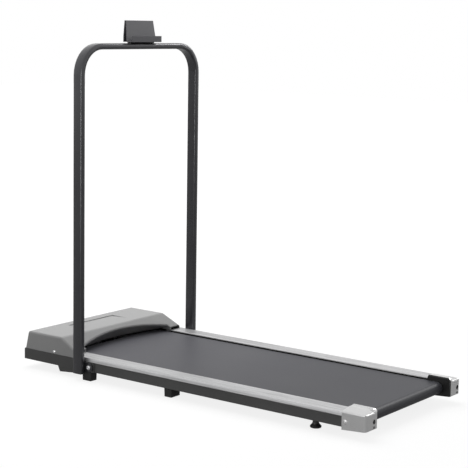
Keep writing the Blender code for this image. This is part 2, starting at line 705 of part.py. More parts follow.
def side_rail(side):
    """An aluminium extrusion over the belt's edge: ribbed top, outer skirt, inner lip and a web."""
    top = RAIL_TOP
    outer = HALF_WIDTH
    inner = HALF_WIDTH - RAIL_WIDTH
    skirt_bottom = top - RAIL_SKIRT
    under = top - RAIL_WALL - RAIL_GROOVE_DEPTH
    corner = RAIL_EDGE * (1 - math.sqrt(0.5))
    points = [(outer, skirt_bottom), (outer, top - RAIL_EDGE), (outer - corner, top - corner),
              (outer - RAIL_EDGE, top)]
    groove_span = (RAIL_WIDTH - 2 * RAIL_PLAIN_EDGE) / RAIL_GROOVES
    floor_half = RAIL_GROOVE_WIDTH / 2
    mouth_half = floor_half + RAIL_GROOVE_DEPTH * 0.6
    for number in range(RAIL_GROOVES):
        middle = outer - RAIL_PLAIN_EDGE - groove_span * (number + 0.5)
        points += [(middle + mouth_half, top), (middle + floor_half, top - RAIL_GROOVE_DEPTH),
                   (middle - floor_half, top - RAIL_GROOVE_DEPTH), (middle - mouth_half, top)]
    points += [(inner + RAIL_INNER_EDGE, top), (inner, top - RAIL_INNER_EDGE), (inner, top - RAIL_LIP),
               (inner + RAIL_WALL, top - RAIL_LIP), (inner + RAIL_WALL, under)]
    web_outer = TUBE_OUTER - RAIL_WEB_INSET
    points += [(web_outer - RAIL_WALL, under), (web_outer - RAIL_WALL, TUBE_TOP + GAP),
               (web_outer, TUBE_TOP + GAP), (web_outer, under),
               (outer - RAIL_WALL, under), (outer - RAIL_WALL, skirt_bottom)]
    outline = [(side * x, z) for x, z in points]
    start = place_y(CAP_LENGTH) + GAP
    end = place_y(TRAY_START) - GAP
    return prism(named(side, "side_rail"), outline, "y", start, end, ALUMINIUM)


def cap_form(name, side, inset, ahead, finish=None):
    """The rear cap's sloped and rounded body, or with an inset the space inside it."""
    inner = CAP_INNER_EDGE + inset
    outer = CAP_OUTER_EDGE - inset
    back = place_y(inset)
    front = place_y(CAP_LENGTH)
    past = front + BEYOND
    edge = RAIL_TOP - inset
    top = RAIL_TOP + CAP_SHOULDER_HEIGHT - inset
    corner = CAP_CORNER - inset
    section = fillet([(inner, 0), (outer, 0), (outer, edge), (CAP_INNER_EDGE + CAP_SHOULDER_WIDTH, top),
                      (inner, top)], [0, 0, corner, CAP_CORNER, corner], 3)
    body = prism(name, [(side * x, z) for x, z in section], "y", back, ahead, finish)
    profile = fillet([(back, CAP_REAR_BOTTOM + inset), (front, CAP_FRONT_BOTTOM + inset),
                      (past, CAP_FRONT_BOTTOM + inset), (past, edge + GAP), (front, edge + GAP),
                      (front - CAP_FRONT_SLOPE, top), (back + CAP_REAR_SLOPE, top), (back, edge)],
                     [CAP_BOTTOM_ROUND, 0, 0, 0, 0, CAP_FRONT_SLOPE / 2, CAP_RIB_ROUND, corner], 3)
    seen_from_side = prism("seen_from_side", profile, "x", -HALF_WIDTH * 2, HALF_WIDTH * 2)
    return combine(body, (seen_from_side, cap_plan(side, inset)), "INTERSECT")


def cap_plan(side, inset):
    """The cap's outline seen from above, with its rear corners rounded, as an upright block."""
    inner = CAP_INNER_EDGE + inset
    outer = CAP_OUTER_EDGE - inset
    back = place_y(inset)
    past = place_y(CAP_LENGTH) + BEYOND
    radii = [CAP_INNER_ROUND - inset, CAP_UPRIGHT_ROUND - inset, 0, 0]
    plan = fillet([(inner, back), (outer, back), (outer, past), (inner, past)], radii, 3)
    return prism("seen_from_above", [(side * x, y) for x, y in plan], "z", 0, 2 * COVER_TOP)


def cap_rib(side):
    """The rounded rib along the cap's inner edge, which rolls over at the rear."""
    front = place_y(CAP_LENGTH)
    back = place_y(0)
    top = RAIL_TOP + CAP_RIB_HEIGHT
    low = RAIL_TOP - CAP_RIB_ROUND
    profile = fillet([(back, low), (front, low), (front, RAIL_TOP), (front - CAP_FRONT_SLOPE, top),
                      (back, top)], [0, 0, 0, CAP_FRONT_SLOPE / 2, CAP_RIB_ROUND], 4)
    outer = CAP_INNER_EDGE + CAP_RIB_WIDTH
    rib = prism("rib", profile, "x", *sorted((side * CAP_INNER_EDGE, side * outer)))
    section = fillet([(CAP_INNER_EDGE, 0), (outer, 0), (outer, top), (CAP_INNER_EDGE, top)],
                     [0, 0, CAP_CORNER * 0.8, CAP_CORNER * 0.8], 3)
    across = prism("across", [(side * x, z) for x, z in section], "y", back - BEYOND, front + BEYOND)
    return combine(rib, (across, cap_plan(side, 0.0)), "INTERSECT")


def end_cap(side):
    """A moulded rear cap: a shell open to the front, with a rounded rib beside the belt."""
    front = place_y(CAP_LENGTH)
    cap = cap_form(named(side, "end_cap"), side, 0.0, front, GREY_PLASTIC)
    join(cap, cap_rib(side))
    space = cap_form("space", side, CAP_WALL, front + BEYOND / 2)
    slot_x = sorted((side * (CAP_INNER_EDGE - CUT_PAST), side * (CAP_INNER_EDGE + CAP_WALL + CUT_PAST)))
    slot_radius = AXLE_RADIUS + CAP_AXLE_CLEARANCE
    slot = box("slot", (slot_x[0], place_y(REAR_ROLLER_PLACE) - slot_radius - TENSION_SLOT_TRAVEL / 2,
                        ROLLER_HEIGHT - slot_radius),
               (slot_x[1], front + CUT_PAST, ROLLER_HEIGHT + slot_radius))
    holes = []
    for height, radius in ((ROLLER_HEIGHT, TENSION_HEAD_RADIUS + CAP_HEAD_CLEARANCE),
                           (CAP_SCREW_HEIGHT, CAP_SCREW_HOLE)):
        holes.append(cylinder("hole", "y", (tension_x(side), 0, height), radius,
                              place_y(-CUT_PAST), place_y(CAP_WALL + CUT_PAST), 16))
    return cut(cap, space, slot, *holes)


def motor_tray():
    """The black tray under the drive parts, with a deep well for the front roller and belt."""
    back = place_y(TRAY_START)
    front = place_y(TRAY_FRONT)
    well_end = place_y(FRONT_ROLLER_PLACE)
    slope_end = well_end + TRAY_WELL_SLOPE

    def form(name, inset, top, finish=None):
        """The tray's outer form, or with an inset the space inside it."""
        half = HALF_WIDTH - inset
        lean = TRAY_FRONT_LEAN * (top - FOOT_HEIGHT) / (TRAY_RIM - FOOT_HEIGHT)
        shift = inset * TRAY_SLOPE_SHIFT
        profile = ((back + inset, TRAY_WELL_REAR_BOTTOM + inset),
                   (well_end - shift, TRAY_WELL_BOTTOM + inset),
                   (slope_end - shift, FOOT_HEIGHT + inset), (front - inset, FOOT_HEIGHT + inset),
                   (front - inset - lean, top), (back + inset, top))
        body = prism(name, profile, "x", -half, half, finish)
        corner = TRAY_CORNER - inset
        plan = fillet([(-half, back), (half, back), (half, front - inset), (-half, front - inset)],
                      [0, 0, corner, corner], 3)
        return combine(body, (prism("plan", plan, "z", 0, 2 * COVER_TOP),), "INTERSECT")

    tray = form("motor_tray", 0.0, TRAY_RIM, BLACK_PLASTIC)
    space = form("space", TRAY_WALL, TRAY_RIM + CUT_PAST)
    reach = TRAY_WALL + CUT_PAST
    belt_way = box("belt_way", (-PULLEY_X, back - CUT_PAST, TRAY_SILL), (PULLEY_X, back + reach, COVER_TOP))
    bracket_half = FRONT_BRACKET_OUTER + TRAY_BRACKET_CLEARANCE
    bracket_way = box("bracket_way", (-bracket_half, back - CUT_PAST, TRAY_INSIDE_FLOOR),
                      (bracket_half, back + reach, COVER_TOP))
    cut(tray, space, belt_way, bracket_way)

    wheel_y = place_y(WHEEL_PLACE)
    pocket_y = WHEEL_RADIUS + WHEEL_SPACE
    pocket_x = WHEEL_WIDTH / 2 + WHEEL_SPACE
    pocket_top = WHEEL_HEIGHT + pocket_y
    wall = WHEEL_POCKET_WALL
    for side in (-1, 1):
        x = side * WHEEL_OFFSET
        reach_x = pocket_x + wall
        reach_y = pocket_y + wall
        join(tray, box("pocket", (x - reach_x, wheel_y - reach_y, FOOT_HEIGHT + TRAY_WALL / 2),
                       (x + reach_x, wheel_y + reach_y, pocket_top + wall)))
        cut(tray, box("pocket_space", (x - pocket_x, wheel_y - pocket_y, 0),
                      (x + pocket_x, wheel_y + pocket_y, pocket_top)),
            cylinder("axle_hole", "x", (0, wheel_y, WHEEL_HEIGHT), WHEEL_AXLE_RADIUS + BOLT_CLEARANCE,
                     x - reach_x - CUT_PAST, x + reach_x + CUT_PAST))
    for centre_x, size in ((INLET_CENTRE_X, INLET_SIZE), (SWITCH_CENTRE_X, SWITCH_SIZE)):
        half_x = size[0] / 2 - PANEL_RIM + GAP
        half_z = size[1] / 2 - PANEL_RIM + GAP
        through = TRAY_WALL * 2
        way = box("way", (centre_x - half_x, -through, -half_z), (centre_x + half_x, through, half_z))
        cut(tray, on_front_panel(way))
    return tray


def front_panel():
    """The place and lean of the tray's front wall, for pieces that are built facing +Y."""
    lean = math.atan(TRAY_FRONT_LEAN / (TRAY_RIM - FOOT_HEIGHT))
    middle = Vector((0, place_y(TRAY_FRONT - TRAY_FRONT_LEAN / 2), (TRAY_RIM + FOOT_HEIGHT) / 2))
    return Matrix.Translation(middle) @ Matrix.Rotation(lean, 4, "X")


def on_front_panel(target):
    """Move a piece built about the origin onto the leaning front wall of the tray."""
    target.data.transform(front_panel())
    return target


def slope_height(y, below=0.0):
    """Height of the cover's rear slope at a place along the machine."""
    return COVER_TOP - COVER_SLOPE * (place_y(COVER_CREASE) - y) - below


def arch_y(x):
    """Place along the machine of the curved edge of the cover's opening."""
    middle = place_y(COVER_ARCH_SIDE) - math.sqrt(ARCH_RADIUS ** 2 - OPENING_HALF ** 2)
    return middle + math.sqrt(ARCH_RADIUS ** 2 - x ** 2)


def arch_block(name, half):
    """Everything behind the curved edge, between two sides, for cutting the opening."""
    across = [half * (2 * step / COVER_ARCH_STEPS - 1) for step in range(COVER_ARCH_STEPS + 1)]
    back = place_y(TRAY_START) - BEYOND
    outline = [(-half, back)] + [(x, arch_y(x)) for x in across] + [(half, back)]
    return prism(name, outline, "z", 0.0, 2 * COVER_TOP)


def cover_form(name, inset, finish=None):
    """The cover's outer form, or with an inset the space inside it."""
    below = COVER_BASE - BEYOND / 2
    rise = COVER_TOP - inset - below
    height = COVER_TOP - COVER_BASE
    side_base = COVER_HALF - inset + COVER_SIDE_DRAFT * (COVER_BASE - below) / height
    side_top = side_base - COVER_SIDE_DRAFT * rise / height
    front_base = (place_y(TRAY_FRONT - TRAY_FRONT_LEAN - COVER_FRONT_INSET) - inset
                  + COVER_FRONT_DRAFT * (COVER_BASE - below) / height)
    front_top = front_base - COVER_FRONT_DRAFT * rise / height
    across_slope = inset * math.sqrt(1 + COVER_SLOPE ** 2)
    back = place_y(TRAY_START) - BEYOND / 2
    crease = place_y(COVER_CREASE) + (across_slope - inset) / COVER_SLOPE
    profile = ((back, below), (front_base, below), (front_top, COVER_TOP - inset),
               (crease, COVER_TOP - inset), (back, slope_height(back, across_slope)))
    body = prism(name, profile, "x", -DECK_WIDTH, DECK_WIDTH, finish)
    section = ((-side_base, below), (side_base, below), (side_top, COVER_TOP - inset),
               (-side_top, COVER_TOP - inset))
    combine(body, (prism("section", section, "y", -LENGTH, LENGTH),), "INTERSECT")
    soften(body, COVER_ROUND - inset, 3, 20)
    base = COVER_BASE if inset == 0 else below - CUT_PAST
    keep_from = place_y(TRAY_START) if inset == 0 else back - CUT_PAST
    keep = box("keep", (-DECK_WIDTH, keep_from, base), (DECK_WIDTH, LENGTH, 2 * COVER_TOP))
    return combine(body, (keep,), "INTERSECT")


def motor_cover():
    """The silver cover: a drafted shell with a sloped back, an arched opening and a sunk top panel."""
    cover = cover_form("motor_cover", 0.0, GREY_PLASTIC)
    space = cover_form("space", COVER_WALL)
    wall_end = place_y(COVER_ARCH_SIDE) + COVER_WALL
    for side in (-1, 1):
        wall_x = sorted((side * OPENING_HALF, side * (OPENING_HALF + COVER_WALL)))
        cut(space, box("leg_wall", (wall_x[0], -LENGTH, 0), (wall_x[1], wall_end, 2 * COVER_TOP)))
    cut(cover, space, arch_block("arch", OPENING_HALF))
    recess_back = place_y(COVER_CREASE) + RECESS_FROM_CREASE
    recess_front = place_y(LENGTH - RECESS_FROM_FRONT)
    recess = prism("recess", ((recess_back, COVER_TOP), (recess_front, COVER_TOP - RECESS_DEPTH),
                              (recess_front, COVER_TOP + CUT_PAST), (recess_back, COVER_TOP + CUT_PAST)),
                   "x", RECESS_INSET - HALF_WIDTH, HALF_WIDTH - RECESS_INSET)
    return cut(cover, recess)


def belt_lip():
    """The black edge of the opening: a curved band that leans in over the belt, and its two ends."""
    half = OPENING_HALF - GAP
    bm = bmesh.new()
    sections = []
    for step in range(COVER_ARCH_STEPS + 1):
        x = half * (2 * step / COVER_ARCH_STEPS - 1)
        front = arch_y(x) - GAP
        back = front - LIP_THICKNESS
        foot = front + LIP_REACH
        top_back = slope_height(back, LIP_BELOW_SURFACE)
        top_front = slope_height(front, LIP_BELOW_SURFACE)
        section = ((back, top_back), (front, top_front), (front, top_front - LIP_UPRIGHT),
                   (foot + LIP_THICKNESS, LIP_BOTTOM), (foot, LIP_BOTTOM), (back, top_back - LIP_UPRIGHT))
        sections.append([bm.verts.new((x, y, z)) for y, z in section])
    bm.faces.new(sections[0])
    bm.faces.new(sections[-1])
    for first, second in zip(sections, sections[1:]):
        for i in range(len(first)):
            follow = (i + 1) % len(first)
            bm.faces.new((first[i], first[follow], second[follow], second[i]))
    lip = object_from(bm, "belt_lip", BLACK_PLASTIC)
    start = place_y(TRAY_START)
    front = arch_y(half) - GAP
    middle = front - LIP_THICKNESS / 2
    outline = ((start, LIP_BOTTOM), (front + LIP_REACH, LIP_BOTTOM),
               (middle, slope_height(middle, LIP_BELOW_SURFACE + LIP_UPRIGHT)),
               (middle, slope_height(middle, LIP_BELOW_SURFACE)),
               (start, slope_height(start, LIP_BELOW_SURFACE)))
    for side in (-1, 1):
        x = sorted((side * half, side * (half - LIP_THICKNESS)))
        join(lip, prism("end_strip", outline, "x", x[0], x[1]))
    return lip


def front_bracket(side):
    """A steel plate that holds the front axle and carries the tray ahead of the side frame."""
    back = place_y(TRAY_START - FRONT_BRACKET_BEHIND_TRAY)
    tray_back = place_y(TRAY_START)
    front = place_y(TRAY_START + FRONT_BRACKET_IN_TRAY)
    floor = TRAY_INSIDE_FLOOR + GAP
    slope_end = place_y(FRONT_ROLLER_PLACE) + TRAY_WELL_SLOPE
    rear_top = DECK_BOTTOM - GAP
    axle_top = TUBE_TOP + CUT_PAST
    rear_bottom = floor + TRAY_WALL / 2
    ear_front = place_y(FRONT_ROLLER_PLACE) + AXLE_RADIUS + BRACKET_EAR
    outline = ((back, rear_bottom), (tray_back + BRACKET_STEP, rear_bottom),
               (tray_back + 2 * BRACKET_STEP, BRACKET_WELL_BOTTOM),
               (slope_end - BRACKET_EAR, BRACKET_WELL_BOTTOM), (slope_end - CUT_PAST, floor),
               (front, floor), (front, BRACKET_ARM_TOP),
               (ear_front + 2 * BRACKET_STEP, BRACKET_ARM_TOP), (ear_front, axle_top),
               (tray_back + BRACKET_STEP, axle_top), (tray_back - CUT_PAST, rear_top), (back, rear_top))
    x = sorted((side * FRONT_BRACKET_INNER, side * FRONT_BRACKET_OUTER))
    plate = prism(named(side, "front_bracket"), outline, "x", x[0], x[1], STEEL_BLACK)
    hole = cylinder("hole", "x", (0, place_y(FRONT_ROLLER_PLACE), ROLLER_HEIGHT),
                    AXLE_RADIUS + BOLT_CLEARANCE, x[0] - CUT_PAST, x[1] + CUT_PAST, 20)
    return cut(plate, hole)


def pulley(name, centre, radius, bore, hub_start, hub_radius, finish):
    """A flanged belt pulley on the X axis, with a hub on its inner side."""
    start = PULLEY_X
    end = PULLEY_X + PULLEY_WIDTH
    flange = (PULLEY_WIDTH - DRIVE_BELT_WIDTH) / 2 - RUNNING_GAP
    rim = radius + PULLEY_FLANGE
    profile = ((hub_start, bore), (hub_start, hub_radius), (start, hub_radius), (start, rim),
               (start + flange, rim), (start + flange, radius), (end - flange, radius),
               (end - flange, rim), (end, rim), (end, bore))
    made = turned(name, profile, "x", centre, 24, finish)
    return set_origin(made, centre)


def motor_shaft(centre):
    """The motor's output shaft, from its blind bore in the motor out through the pulley."""
    start = PULLEY_X - MOTOR_FROM_PULLEY - MOTOR_SHAFT_BORE + GAP
    end = PULLEY_X + PULLEY_WIDTH + MOTOR_SHAFT_PAST_PULLEY
    made = cylinder("motor_shaft", "x", centre, MOTOR_SHAFT_RADIUS, start, end, 16, BRIGHT_STEEL)
    return set_origin(made, centre)


def drive_motor(centre):
    """The motor: a round steel can between two end covers, bored for its shaft."""
    end = PULLEY_X - MOTOR_FROM_PULLEY
    start = end - MOTOR_LENGTH
    bore = MOTOR_SHAFT_RADIUS + RUNNING_GAP
    small = MOTOR_RADIUS - MOTOR_STEP
    boss_end = end + MOTOR_BOSS_LENGTH
    profile = ((start, 0), (start, small - MOTOR_STEP), (start + MOTOR_STEP, small),
               (start + MOTOR_END_COVER, small), (start + MOTOR_END_COVER, MOTOR_RADIUS),
               (end - MOTOR_END_COVER, MOTOR_RADIUS), (end - MOTOR_END_COVER, small),
               (end - MOTOR_STEP, small), (end, small - MOTOR_STEP), (end, MOTOR_BOSS_RADIUS),
               (boss_end, MOTOR_BOSS_RADIUS), (boss_end, bore), (end - MOTOR_SHAFT_BORE, bore),
               (end - MOTOR_SHAFT_BORE, 0))
    return turned("drive_motor", profile, "x", centre, 30, STEEL_BLACK)


def motor_cradle(centre):
    """A pressed saddle on the tray floor that the motor lies in."""
    middle = Vector(centre[1:])
    motor_middle = PULLEY_X - MOTOR_FROM_PULLEY - MOTOR_LENGTH / 2
    start = motor_middle - CRADLE_LENGTH / 2
    end = motor_middle + CRADLE_LENGTH / 2
    inner = MOTOR_RADIUS + GAP
    outer = inner + CRADLE_THICKNESS
    span = math.radians(CRADLE_SPAN)
    arc = []
    for radius, direction in ((inner, 1), (outer, -1)):
        for step in range(CRADLE_STEPS + 1):
            angle = -math.pi / 2 + direction * span * (step / CRADLE_STEPS - 0.5)
            arc.append((middle.x + radius * math.cos(angle), middle.y + radius * math.sin(angle)))
    saddle = prism("motor_cradle", arc, "x", start, end, STEEL_BLACK)
    foot = MOTOR_RADIUS + CRADLE_FOOT
    plate = box("plate", (start + CRADLE_THICKNESS, middle.x - foot, TRAY_INSIDE_FLOOR + GAP),
                (end - CRADLE_THICKNESS, middle.x + foot, middle.y - outer + CRADLE_THICKNESS * 0.6))
    return join(saddle, plate)


def controller_box():
    """The motor controller: a case with cooling fins along its top."""
    width, depth, height = CONTROLLER_SIZE
    fin_thickness, fin_height = HEATSINK_FIN
    y = place_y(TRAY_START + CONTROLLER_IN_TRAY)
    base = TRAY_INSIDE_FLOOR + GAP
    half = width / 2
    case = box("controller_box", (CONTROLLER_X - half, y - depth / 2, base),
               (CONTROLLER_X + half, y + depth / 2, base + height), STEEL_BLACK)
    soften(case, CONTROLLER_EDGE, 2)
    reach = depth / 2 - HEATSINK_MARGIN
    fins = []
    for number in range(HEATSINK_FINS):
        middle = y - reach + 2 * reach * number / (HEATSINK_FINS - 1)
        fins.append(box("fin", (CONTROLLER_X - half + HEATSINK_MARGIN, middle - fin_thickness / 2,
                                base + height - CUT_PAST),
                        (CONTROLLER_X + half - HEATSINK_MARGIN, middle + fin_thickness / 2,
                         base + height + fin_height)))
    return join(case, *fins)


def panel_part(name, size, depth):
    """A part that stands through the tray's front wall: a thin rim outside and a body inside."""
    half_x, half_z = (value / 2 for value in size)
    part = box(name, (-half_x, GAP, -half_z), (half_x, PANEL_PART_PROUD, half_z), BLACK_PLASTIC)
    body_x = half_x - PANEL_RIM
    body_z = half_z - PANEL_RIM
    return join(part, box("body", (-body_x, -depth, -body_z), (body_x, PANEL_PART_PROUD / 2, body_z)))


def power_inlet():
    """The mains inlet in the tray's front wall: a socket with three blades."""
    inlet = panel_part("power_inlet", INLET_SIZE, INLET_DEPTH)
    mouth_x, mouth_z = (value / 2 - PANEL_RIM - INLET_WALL for value in INLET_SIZE)
    floor = INLET_WALL * 3 - INLET_DEPTH
    cut(inlet, box("mouth", (-mouth_x, floor, -mouth_z), (mouth_x, PANEL_PART_PROUD + CUT_PAST, mouth_z)))
    width, length, height = INLET_BLADE
    blades = []
    for x, z in INLET_BLADE_PLACES:
        blades.append(box("blade", (x - width / 2, floor - CUT_PAST, z - height / 2),
                          (x + width / 2, floor + length, z + height / 2)))
    join(inlet, *blades)
    inlet.data.transform(Matrix.Translation((INLET_CENTRE_X, 0, 0)))
    return on_front_panel(inlet)


def switch_housing():
    """The frame of the mains switch."""
    housing = panel_part("switch_housing", SWITCH_SIZE, SWITCH_DEPTH)
    window_x, window_z = (value / 2 - PANEL_RIM - SWITCH_WALL for value in SWITCH_SIZE)
    cut(housing, box("window", (-window_x, SWITCH_WALL - SWITCH_DEPTH, -window_z),
                     (window_x, PANEL_PART_PROUD + CUT_PAST, window_z)))
    housing.data.transform(Matrix.Translation((SWITCH_CENTRE_X, 0, 0)))
    return on_front_panel(housing)


def switch_rocker():
    """The rocker of the mains switch, pressed in at its lower end."""
    half_x = SWITCH_SIZE[0] / 2 - PANEL_RIM - SWITCH_WALL - RUNNING_GAP
    half_z = ROCKER_HALF_HEIGHT
    face = ROCKER_REACH
    profile = ((-ROCKER_BACK, -half_z / 2), (ROCKER_STEP, -half_z), (face, -half_z), (face - ROCKER_DISH, 0),
               (face, half_z), (ROCKER_STEP, half_z), (-ROCKER_BACK, half_z / 2))
    rocker = prism("switch_rocker", profile, "x", -half_x, half_x, BLACK_PLASTIC)
    pivot = Vector((SWITCH_CENTRE_X, -ROCKER_REACH, 0))
    rocker.data.transform(Matrix.Translation(pivot) @ Matrix.Rotation(math.radians(-SWITCH_ROCK), 4, "X"))
    on_front_panel(rocker)
    return set_origin(rocker, front_panel() @ pivot)


def transport_wheel(side):
    """A small wheel under the front end, for rolling the machine away when it is tipped up."""
    centre = (side * WHEEL_OFFSET, place_y(WHEEL_PLACE), WHEEL_HEIGHT)
    half = WHEEL_WIDTH / 2
    bore = WHEEL_AXLE_RADIUS + RUNNING_GAP
    hub = WHEEL_RADIUS * 0.45
    web = WHEEL_RADIUS * 0.75
    profile = [(-half, bore), (-half, hub), (WHEEL_DISH - half, hub), (WHEEL_DISH - half, web), (-half, web),
               (-half, WHEEL_RADIUS - WHEEL_EDGE), (WHEEL_EDGE - half, WHEEL_RADIUS)]
    profile += [(-along, radius) for along, radius in reversed(profile)]
    moved = [(centre[0] + along, radius) for along, radius in profile]
    made = turned(named(side, "transport_wheel"), moved, "x", centre, 24, RUBBER)
    return set_origin(made, centre)


def wheel_axle(side):
    """The fixed pin a transport wheel turns on."""
    half = WHEEL_WIDTH / 2 + WHEEL_SPACE + WHEEL_POCKET_WALL
    x = side * WHEEL_OFFSET
    return cylinder(named(side, "wheel_axle"), "x", (x, place_y(WHEEL_PLACE), WHEEL_HEIGHT),
                    WHEEL_AXLE_RADIUS, x - half, x + half, 16, BRIGHT_STEEL)


def block_foot(name, x, from_rear, size):
    """A rubber block foot that narrows slightly towards the floor."""
    half_x, half_y = (value / 2 for value in size)
    y = place_y(from_rear)
    bm = bmesh.new()
    rings = []
    for height, taper in ((0.0, FOOT_TAPER + FOOT_EDGE), (FOOT_EDGE, FOOT_TAPER), (FOOT_HEIGHT - GAP, 0.0)):
        outline = rectangle((x - half_x + taper, y - half_y + taper),
                            (x + half_x - taper, y + half_y - taper), FOOT_CORNER, 2)
        rings.append([bm.verts.new((across, along, height)) for across, along in outline])
    bm.faces.new(rings[0])
    bm.faces.new(rings[-1])
    for ring, above in zip(rings, rings[1:]):
        for i in range(len(ring)):
            follow = (i + 1) % len(ring)
            bm.faces.new((ring[i], ring[follow], above[follow], above[i]))
    return object_from(bm, name, RUBBER)


def levelling_foot(side):
    """A screw foot: a broad base, a narrow neck and a threaded stem up through the frame's lug."""
    centre = (side * LEVELLER_X, place_y(LEVELLER_PLACE), 0)
    neck_top = FOOT_HEIGHT + LEVELLER_LUG_LIFT - GAP
    profile = ((0, 0), (0, LEVELLER_BASE_RADIUS - LEVELLER_BASE_EDGE),
               (LEVELLER_BASE_EDGE, LEVELLER_BASE_RADIUS), (LEVELLER_BASE_HEIGHT, LEVELLER_BASE_RADIUS),
               (LEVELLER_SHOULDER, LEVELLER_NECK_RADIUS + LEVELLER_NECK_FLARE),
               (LEVELLER_NECK_START, LEVELLER_NECK_RADIUS), (neck_top, LEVELLER_NECK_RADIUS),
               (neck_top, LEVELLER_STEM_RADIUS), (LEVELLER_STEM_TOP, LEVELLER_STEM_RADIUS),
               (LEVELLER_STEM_TOP, 0))
    made = turned(named(side, "levelling_foot"), profile, "z", centre, 24, BLACK_PLASTIC)
    return set_origin(made, centre)


def handrail():
    """The U handrail: one bent round-cornered tube with a welded hinge lug at each foot."""
    width, depth = HANDRAIL_TUBE
    y = place_y(HANDRAIL_PLACE)
    bend_middle = Vector((HANDRAIL_HALF - HANDRAIL_BEND, BAR_MIDDLE - HANDRAIL_BEND))
    stations = [(Vector((HANDRAIL_HALF, HANDRAIL_FOOT)), 0.0)]
    for step in range(HANDRAIL_BEND_STEPS + 1):
        angle = math.pi / 2 * step / HANDRAIL_BEND_STEPS
        stations.append((bend_middle + HANDRAIL_BEND * Vector((math.cos(angle), math.sin(angle))), angle))
    stations += [(Vector((-place.x, place.y)), math.pi - angle) for place, angle in reversed(stations)]
    bm = bmesh.new()
    loops = []
    for inset in (0.0, HANDRAIL_TUBE_WALL):
        half_width = width / 2 - inset
        half_depth = depth / 2 - inset
        outline = rectangle((-half_width, -half_depth), (half_width, half_depth), HANDRAIL_TUBE_ROUND - inset,
                            HANDRAIL_ROUND_STEPS)
        rings = []
        for place, angle in stations:
            ring = []
            for across, along in outline:
                point = place + across * Vector((math.cos(angle), math.sin(angle)))
                ring.append(bm.verts.new((point.x, y + along, point.y)))
            rings.append(ring)
        loops.append(rings)
    count = len(loops[0][0])
    for rings in loops:
        for ring, beside in zip(rings, rings[1:]):
            for i in range(count):
                follow = (i + 1) % count
                bm.faces.new((ring[i], ring[follow], beside[follow], beside[i]))
    for end in (0, -1):
        outer, inner = loops[0][end], loops[1][end]
        for i in range(count):
            follow = (i + 1) % count
            bm.faces.new((outer[i], outer[follow], inner[follow], inner[i]))
    rail = object_from(bm, "handrail", STEEL_BLACK)

    pivot_y = place_y(PIVOT_PLACE)
    lug_end = y + depth / 2 - HANDRAIL_TUBE_ROUND
    lug = [(lug_end, PIVOT_HEIGHT - LUG_RADIUS), (lug_end, PIVOT_HEIGHT + LUG_RADIUS)]
    for step in range(LUG_STEPS + 1):
        angle = math.pi / 2 + math.pi * step / LUG_STEPS
        lug.append((pivot_y + LUG_RADIUS * math.cos(angle), PIVOT_HEIGHT + LUG_RADIUS * math.sin(angle)))
    for side in (-1, 1):
        x = sorted((side * LUG_INNER, side * LUG_OUTER))
        join(rail, prism("lug", lug, "x", x[0], x[1]))
        cut(rail, cylinder("hole", "x", (0, pivot_y, PIVOT_HEIGHT), PIVOT_BOLT_RADIUS + BOLT_CLEARANCE,
                           x[0] - CUT_PAST, x[1] + CUT_PAST))
    return set_origin(rail, (0, pivot_y, PIVOT_HEIGHT))


def pivot_bracket(side):
    """A steel plate on the side frame that the handrail's lug turns against."""
    x = sorted((side * (TUBE_OUTER + GAP), side * BRACKET_OUTER))
    start = place_y(PIVOT_PLACE - BRACKET_BEHIND_PIVOT)
    end = place_y(TRAY_START - BRACKET_BEHIND_TRAY)
    outline = rectangle((start, FOOT_HEIGHT), (end, RAIL_TOP - RAIL_SKIRT - 2 * GAP), BRACKET_CORNER, 3)
    plate = prism(named(side, "pivot_bracket"), outline, "x", x[0], x[1], STEEL_BLACK)
    hole = cylinder("hole", "x", (0, place_y(PIVOT_PLACE), PIVOT_HEIGHT),
                    PIVOT_BOLT_RADIUS + BOLT_CLEARANCE, x[0] - CUT_PAST, x[1] + CUT_PAST)
    return cut(plate, hole)


def pivot_bolt(side):
    """The bright socket-head bolt that the handrail turns on."""
    centre = (0, place_y(PIVOT_PLACE), PIVOT_HEIGHT)
    seat = LUG_OUTER + GAP
    top = seat + PIVOT_HEAD_LENGTH
    socket = PIVOT_HEAD_RADIUS * 0.38
    end = TUBE_OUTER - PIVOT_BOLT_REACH
    profile = ((end, 0), (end, PIVOT_BOLT_RADIUS), (seat, PIVOT_BOLT_RADIUS), (seat, PIVOT_HEAD_RADIUS),
               (seat + PIVOT_HEAD_LENGTH * 0.4, PIVOT_HEAD_RADIUS),
               (seat + PIVOT_HEAD_LENGTH * 0.8, PIVOT_HEAD_RADIUS * 0.85), (top, PIVOT_HEAD_RADIUS * 0.6),
               (top, socket), (top - PIVOT_SOCKET_DEPTH, socket), (top - PIVOT_SOCKET_DEPTH, 0))
    return turned(named(side, "pivot_bolt"), [(side * along, radius) for along, radius in profile],
                  "x", centre, 18, BRIGHT_STEEL)


def holder_seat():
    """The pad between the crossbar and the phone holder."""
    width, depth, height = HOLDER_SEAT
    y = place_y(HANDRAIL_PLACE) + HOLDER_SEAT_OFFSET
    seat = box("holder_seat", (-width / 2, y - depth / 2, HANDRAIL_HEIGHT + GAP),
               (width / 2, y + depth / 2, HANDRAIL_HEIGHT + GAP + height), RUBBER)
    return soften(seat, HOLDER_SEAT_EDGE, 2)


def sheet_outline(path, thickness):
    """The outline of a bent sheet whose middle follows a path of points."""
    sides = ([], [])
    points = [Vector(point) for point in path]
    for i, point in enumerate(points):
        back = (point - points[i - 1]).normalized() if i else None
        ahead = (points[i + 1] - point).normalized() if i + 1 < len(points) else back
        back = back or ahead
        across = Vector((-(back + ahead).y, (back + ahead).x)).normalized()
        reach = thickness / 2 / across.dot(Vector((-ahead.y, ahead.x)))
        sides[0].append(tuple(point + across * reach))
        sides[1].append(tuple(point - across * reach))
    return sides[0] + sides[1][::-1]


